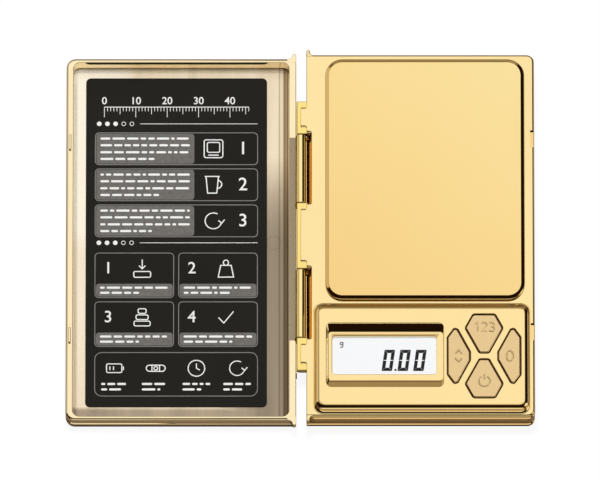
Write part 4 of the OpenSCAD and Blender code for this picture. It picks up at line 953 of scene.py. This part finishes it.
def makePrint():
    z, edge, wide, boxR, thin, inBox = (cardHigh[2], card["edge"], cardHigh[0] - cardLow[0], card["boxR"],
        card["thin"], card["inBox"])
    right, onGrey = wide - edge, z + card["ink"]
    greys, lines, whites = [], [], []

    def stroke(group, points, width, closed=False):
        group.append(strokeSolid(points, z, width, card["ink"], closed))

    def icon(name, across, down, size, width=card["bold"]):
        whites.extend(drawing(icons[name], onCard(across, down), size, z, width, card["ink"]))

    def box(low, high, r=boxR):
        stroke(lines, boxLine(*low, *high, r)[0], card["line"], True)

    start, top = (wide - card["scaleSpan"]) / 2, card["scaleTop"]
    for step in range(int(card["scaleSpan"]) + 1):
        spot = onCard(start + step, top)
        tall = next(size for every, size in card["ticks"] if step % every == 0)
        stroke(whites, [spot, spot + (0, -tall)], thin)
        if step % card["ticks"][0][0] == 0:
            up, size = card["tickText"]
            whites.append(numberSolid(step, spot + (0, up), size, z))
    stroke(whites, [onCard(start, top), onCard(wide - start, top)], card["line"])
    full, count, first, pitch = card["dots"]
    for down in card["headings"]:
        for place in range(count):
            dot = onCard(edge + first + place * pitch, down)
            if place < full:
                whites.append(flatSolid(inset(circlePath(dot, card["dotR"], 5), 0), z, card["ink"]))
            else:
                stroke(whites, arcPoints(dot, card["ringR"], 0, 360, 17)[:-1], thin, True)
        stroke(whites, [onCard(edge + card["ruleFrom"], down), onCard(right, down)], thin)
    for count, (down, name) in enumerate(card["rows"], 1):
        tall = card["rowH"]
        low, high = onCard(edge, down + tall), onCard(right, down)
        box(low, high)
        greys.append(plateSolid(low + inBox, (low[0] + card["greyW"], high[1] - inBox), boxR - inBox, z))
        whites += dashSolids(edge + card["dashIn"], edge + card["greyW"] - card["greyEnd"],
            [down + tall * share for share in card["rowDashes"]], onGrey)
        icon(name, card["iconAt"], down + tall / 2, card["rowIcon"])
        whites.append(numberSolid(count, onCard(card["numberAt"], down + tall / 2), card["rowNumber"], z))
    for count, (down, across, name) in enumerate(card["cells"], 1):
        far, middle = across + card["cellW"], down + card["cellMiddle"]
        low, high = onCard(across, down + card["cellH"]), onCard(far, down)
        box(low, high)
        greys.append(plateSolid(low + inBox, (high[0] - inBox, low[1] + card["cellGrey"]), boxR - inBox, z))
        whites += dashSolids(across + card["dashIn"], far - card["dashIn"],
            [down + lower for lower in card["cellDashes"]], onGrey)
        (at, size), (share, iconSize) = card["cellNumber"], card["cellIcon"]
        whites.append(numberSolid(count, onCard(across + at, middle), size, z))
        icon(name, across + card["cellW"] * share, middle, iconSize)
    foot = card["foot"]
    box(onCard(edge, foot + card["footH"]), onCard(right, foot), card["footR"])
    upper, lower, reach = card["footDashes"]
    for place, name in enumerate(card["footIcons"]):
        across = edge + (right - edge) * (place + 0.5) / len(card["footIcons"])
        icon(name, across, foot + card["footMiddle"], card["footIcon"], card["footBold"])
        whites += dashSolids(across - reach, across + reach, [foot + upper, foot + lower], z)
    for name, solids, finish in (("cardPanels", greys, "printGrey"), ("cardLines", lines, "printLine"),
            ("cardSigns", whites, "printWhite")):
        makePiece(name, solids, finish, "lid", "card_black")


def makeCard():
    path = rectPath(cardLow[:2], cardHigh[:2], card["cornerR"], 6)
    solid = ringSolid(rings(path, wallProfile(cardHigh[2], cardLow[2] + slim, 0.05, 0.02, 3)))
    makePiece("printedCard", [solid], "cardBlack", "lid", "card_black", "instruction_card")
    makePrint()


makeLid()
makeLiner()
makeCard()
print("lid leaf made")

# The finish of each CAD piece that stays, by its material slot
slotFinish = {
    "gold_body": "bodyGold", "carrier_plastic": "carrierPlastic", "beam_alloy": "beamAlloy",
    "screw_steel": "steel", "pin_steel": "steel", "gauge_foil": "gaugeFoil", "lead_insulation": "leadRed",
    "board_green": "boardGreen", "chip_black": "chipBlack", "capacitor_can": "canSilver",
    "switch_black": "switchBlack", "window_clear": "windowClear", "display_glass": "displayWhite",
    "backlight_white": "backlight", "strip_rubber": "stripRubber", "cell_jacket": "cellJacket",
    "contact_nickel": "nickel", "foot_rubber": "footRubber",
}
for node in frame["nodes"].values():
    for place in node.material_slots:
        if place.material and place.material.name in slotFinish:
            place.material = finishes[slotFinish[place.material.name]]
print("CAD pieces finished")

# Studio: a floor that is pale to the camera and dark brown to every other ray, painted shade that the gold
# walls mirror at their feet; one soft lamp above and a little behind, and a dim room for the gold to mirror
studio = {
    "target": (-0.00006, 0.00244, 0.0), "distance": 6.0, "elevation": 73.06, "lens": 1132.0, "farthest": 20.0,
    "floorMirroredShade": (0.2, 0.155, 0.11), "floorGlow": 0.92, "floorReach": 4.0,
    "lampAt": (-0.06, 0.26, 2.14), "lampSize": 0.4, "lampWatts": 42.0,
    "roomColour": (0.98, 0.99, 1.0), "roomLight": 0.2,
    # soft cards that the gold mirrors: ranges of the direction's x, y and z, a level and a soft edge
    "cards": (
        ((-0.42, 0.36), (0.1, 0.66), (0.3, 1.4), 1.0, 0.1),
        ((-0.45, 0.38), (-0.05, 0.7), (0.3, 1.4), 0.6, 0.05),
        ((-0.9, 0.9), (-1.2, -0.78), (-0.2, 0.62), 0.85, 0.05),
        ((-1.2, -0.5), (0.05, 0.85), (0.12, 0.8), 0.65, 0.05),
        ((0.6, 1.1), (-0.5, -0.08), (0.05, 0.75), 1.0, 0.04),
        ((0.88, 1.2), (-0.6, 0.6), (-0.15, 0.2), 0.85, 0.05),
        ((-0.6, 0.6), (0.74, 0.9), (0.3, 0.7), 0.35, 0.05),
        ((-1.2, 1.2), (0.85, 1.2), (-0.1, 0.14), 0.3, 0.04),
    ),
    "cardTones": [(0.0, (0.012, 0.006, 0.002)), (0.5, (0.5, 0.41, 0.29)), (1.0, (1.0, 1.0, 1.0))],
}


def clearTree(owner):
    owner.use_nodes = True
    owner.node_tree.nodes.clear()
    return owner.node_tree


def mixShaders(tree, share, first, second):
    mix = addNode(tree, "MixShader")
    for socket, value in zip(mix.inputs, (share, first, second)):
        tree.links.new(value, socket)
    return mix.outputs[0]


def makeWorld():
    world = bpy.data.worlds.new("room")
    bpy.context.scene.world = world
    tree = clearTree(world)
    heading = addNode(tree, "TexCoord").outputs["Generated"]
    split = addNode(tree, "SeparateXYZ", Vector=heading)
    total = 0.0
    for *spans, level, soft in studio["cards"]:
        part = level
        for axis, (low, high) in zip("XYZ", spans):
            for start, end in ((low - soft, low + soft), (high + soft, high - soft)):
                part = combine(tree, "MULTIPLY", smoothStep(tree, split.outputs[axis], start, end), part)
        total = combine(tree, "MAXIMUM", total, part)
    room, cards, white = (
        addNode(tree, "Background", Color=colour, Strength=strength).outputs[0]
        for colour, strength in (((*studio["roomColour"], 1), studio["roomLight"]),
            (ramp(tree, total, studio["cardTones"]), 1.0), ((1, 1, 1, 1), 1.0)))
    path = addNode(tree, "LightPath")
    last = room
    for ray, back in (("Is Glossy Ray", cards), ("Is Transmission Ray", white), ("Is Camera Ray", white)):
        last = mixShaders(tree, path.outputs[ray], last, back)
    addNode(tree, "OutputWorld", Surface=last)


def makeFloor():
    material = bpy.data.materials.new("paleFloor")
    tree = clearTree(material)
    seen = addNode(tree, "LightPath").outputs["Is Camera Ray"]
    # the camera sees the floor white; every other ray sees it dark brown, painted shade for the gold's walls
    # to mirror
    tone = ramp(tree, seen, [(0.0, studio["floorMirroredShade"]), (1.0, (1.0, 1.0, 1.0))])
    diffuse = addNode(tree, "BsdfDiffuse", Color=tone)
    glow = addNode(tree, "Emission")
    share = combine(tree, "MULTIPLY", seen, studio["floorGlow"])
    addNode(tree, "OutputMaterial",
        Surface=mixShaders(tree, share, diffuse.outputs[0], glow.outputs[0]))
    mesh = bpy.data.meshes.new("floor")
    corners = np.array([(-1, -1, 0), (1, -1, 0), (1, 1, 0), (-1, 1, 0)]) * studio["floorReach"]
    mesh.from_pydata(corners.tolist(), [], [(0, 1, 2, 3)])
    mesh.materials.append(material)
    placed("floor", mesh)


def makeLamp():
    data = bpy.data.lights.new("softLamp", "AREA")
    data.shape = "DISK"
    data.size = studio["lampSize"]
    data.energy = studio["lampWatts"]
    lamp = placed("softLamp", data)
    lamp.location = studio["lampAt"]
    lamp.rotation_euler = Vector(studio["lampAt"]).to_track_quat("Z", "Y").to_euler()
    lamp.visible_glossy = False


def makeCamera():
    data = bpy.data.cameras.new("camera")
    data.lens = studio["lens"]
    data.clip_end = studio["farthest"]
    camera = placed("camera", data)
    rise = np.radians(studio["elevation"])
    away = np.array((0, -np.cos(rise), np.sin(rise))) * studio["distance"]
    camera.location = np.array(studio["target"]) + away
    camera.rotation_euler = (np.pi / 2 - rise, 0, 0)
    bpy.context.scene.camera = camera


makeWorld()
makeFloor()
makeLamp()
makeCamera()
bpy.context.scene.view_settings.view_transform = "Standard"
print("studio made")
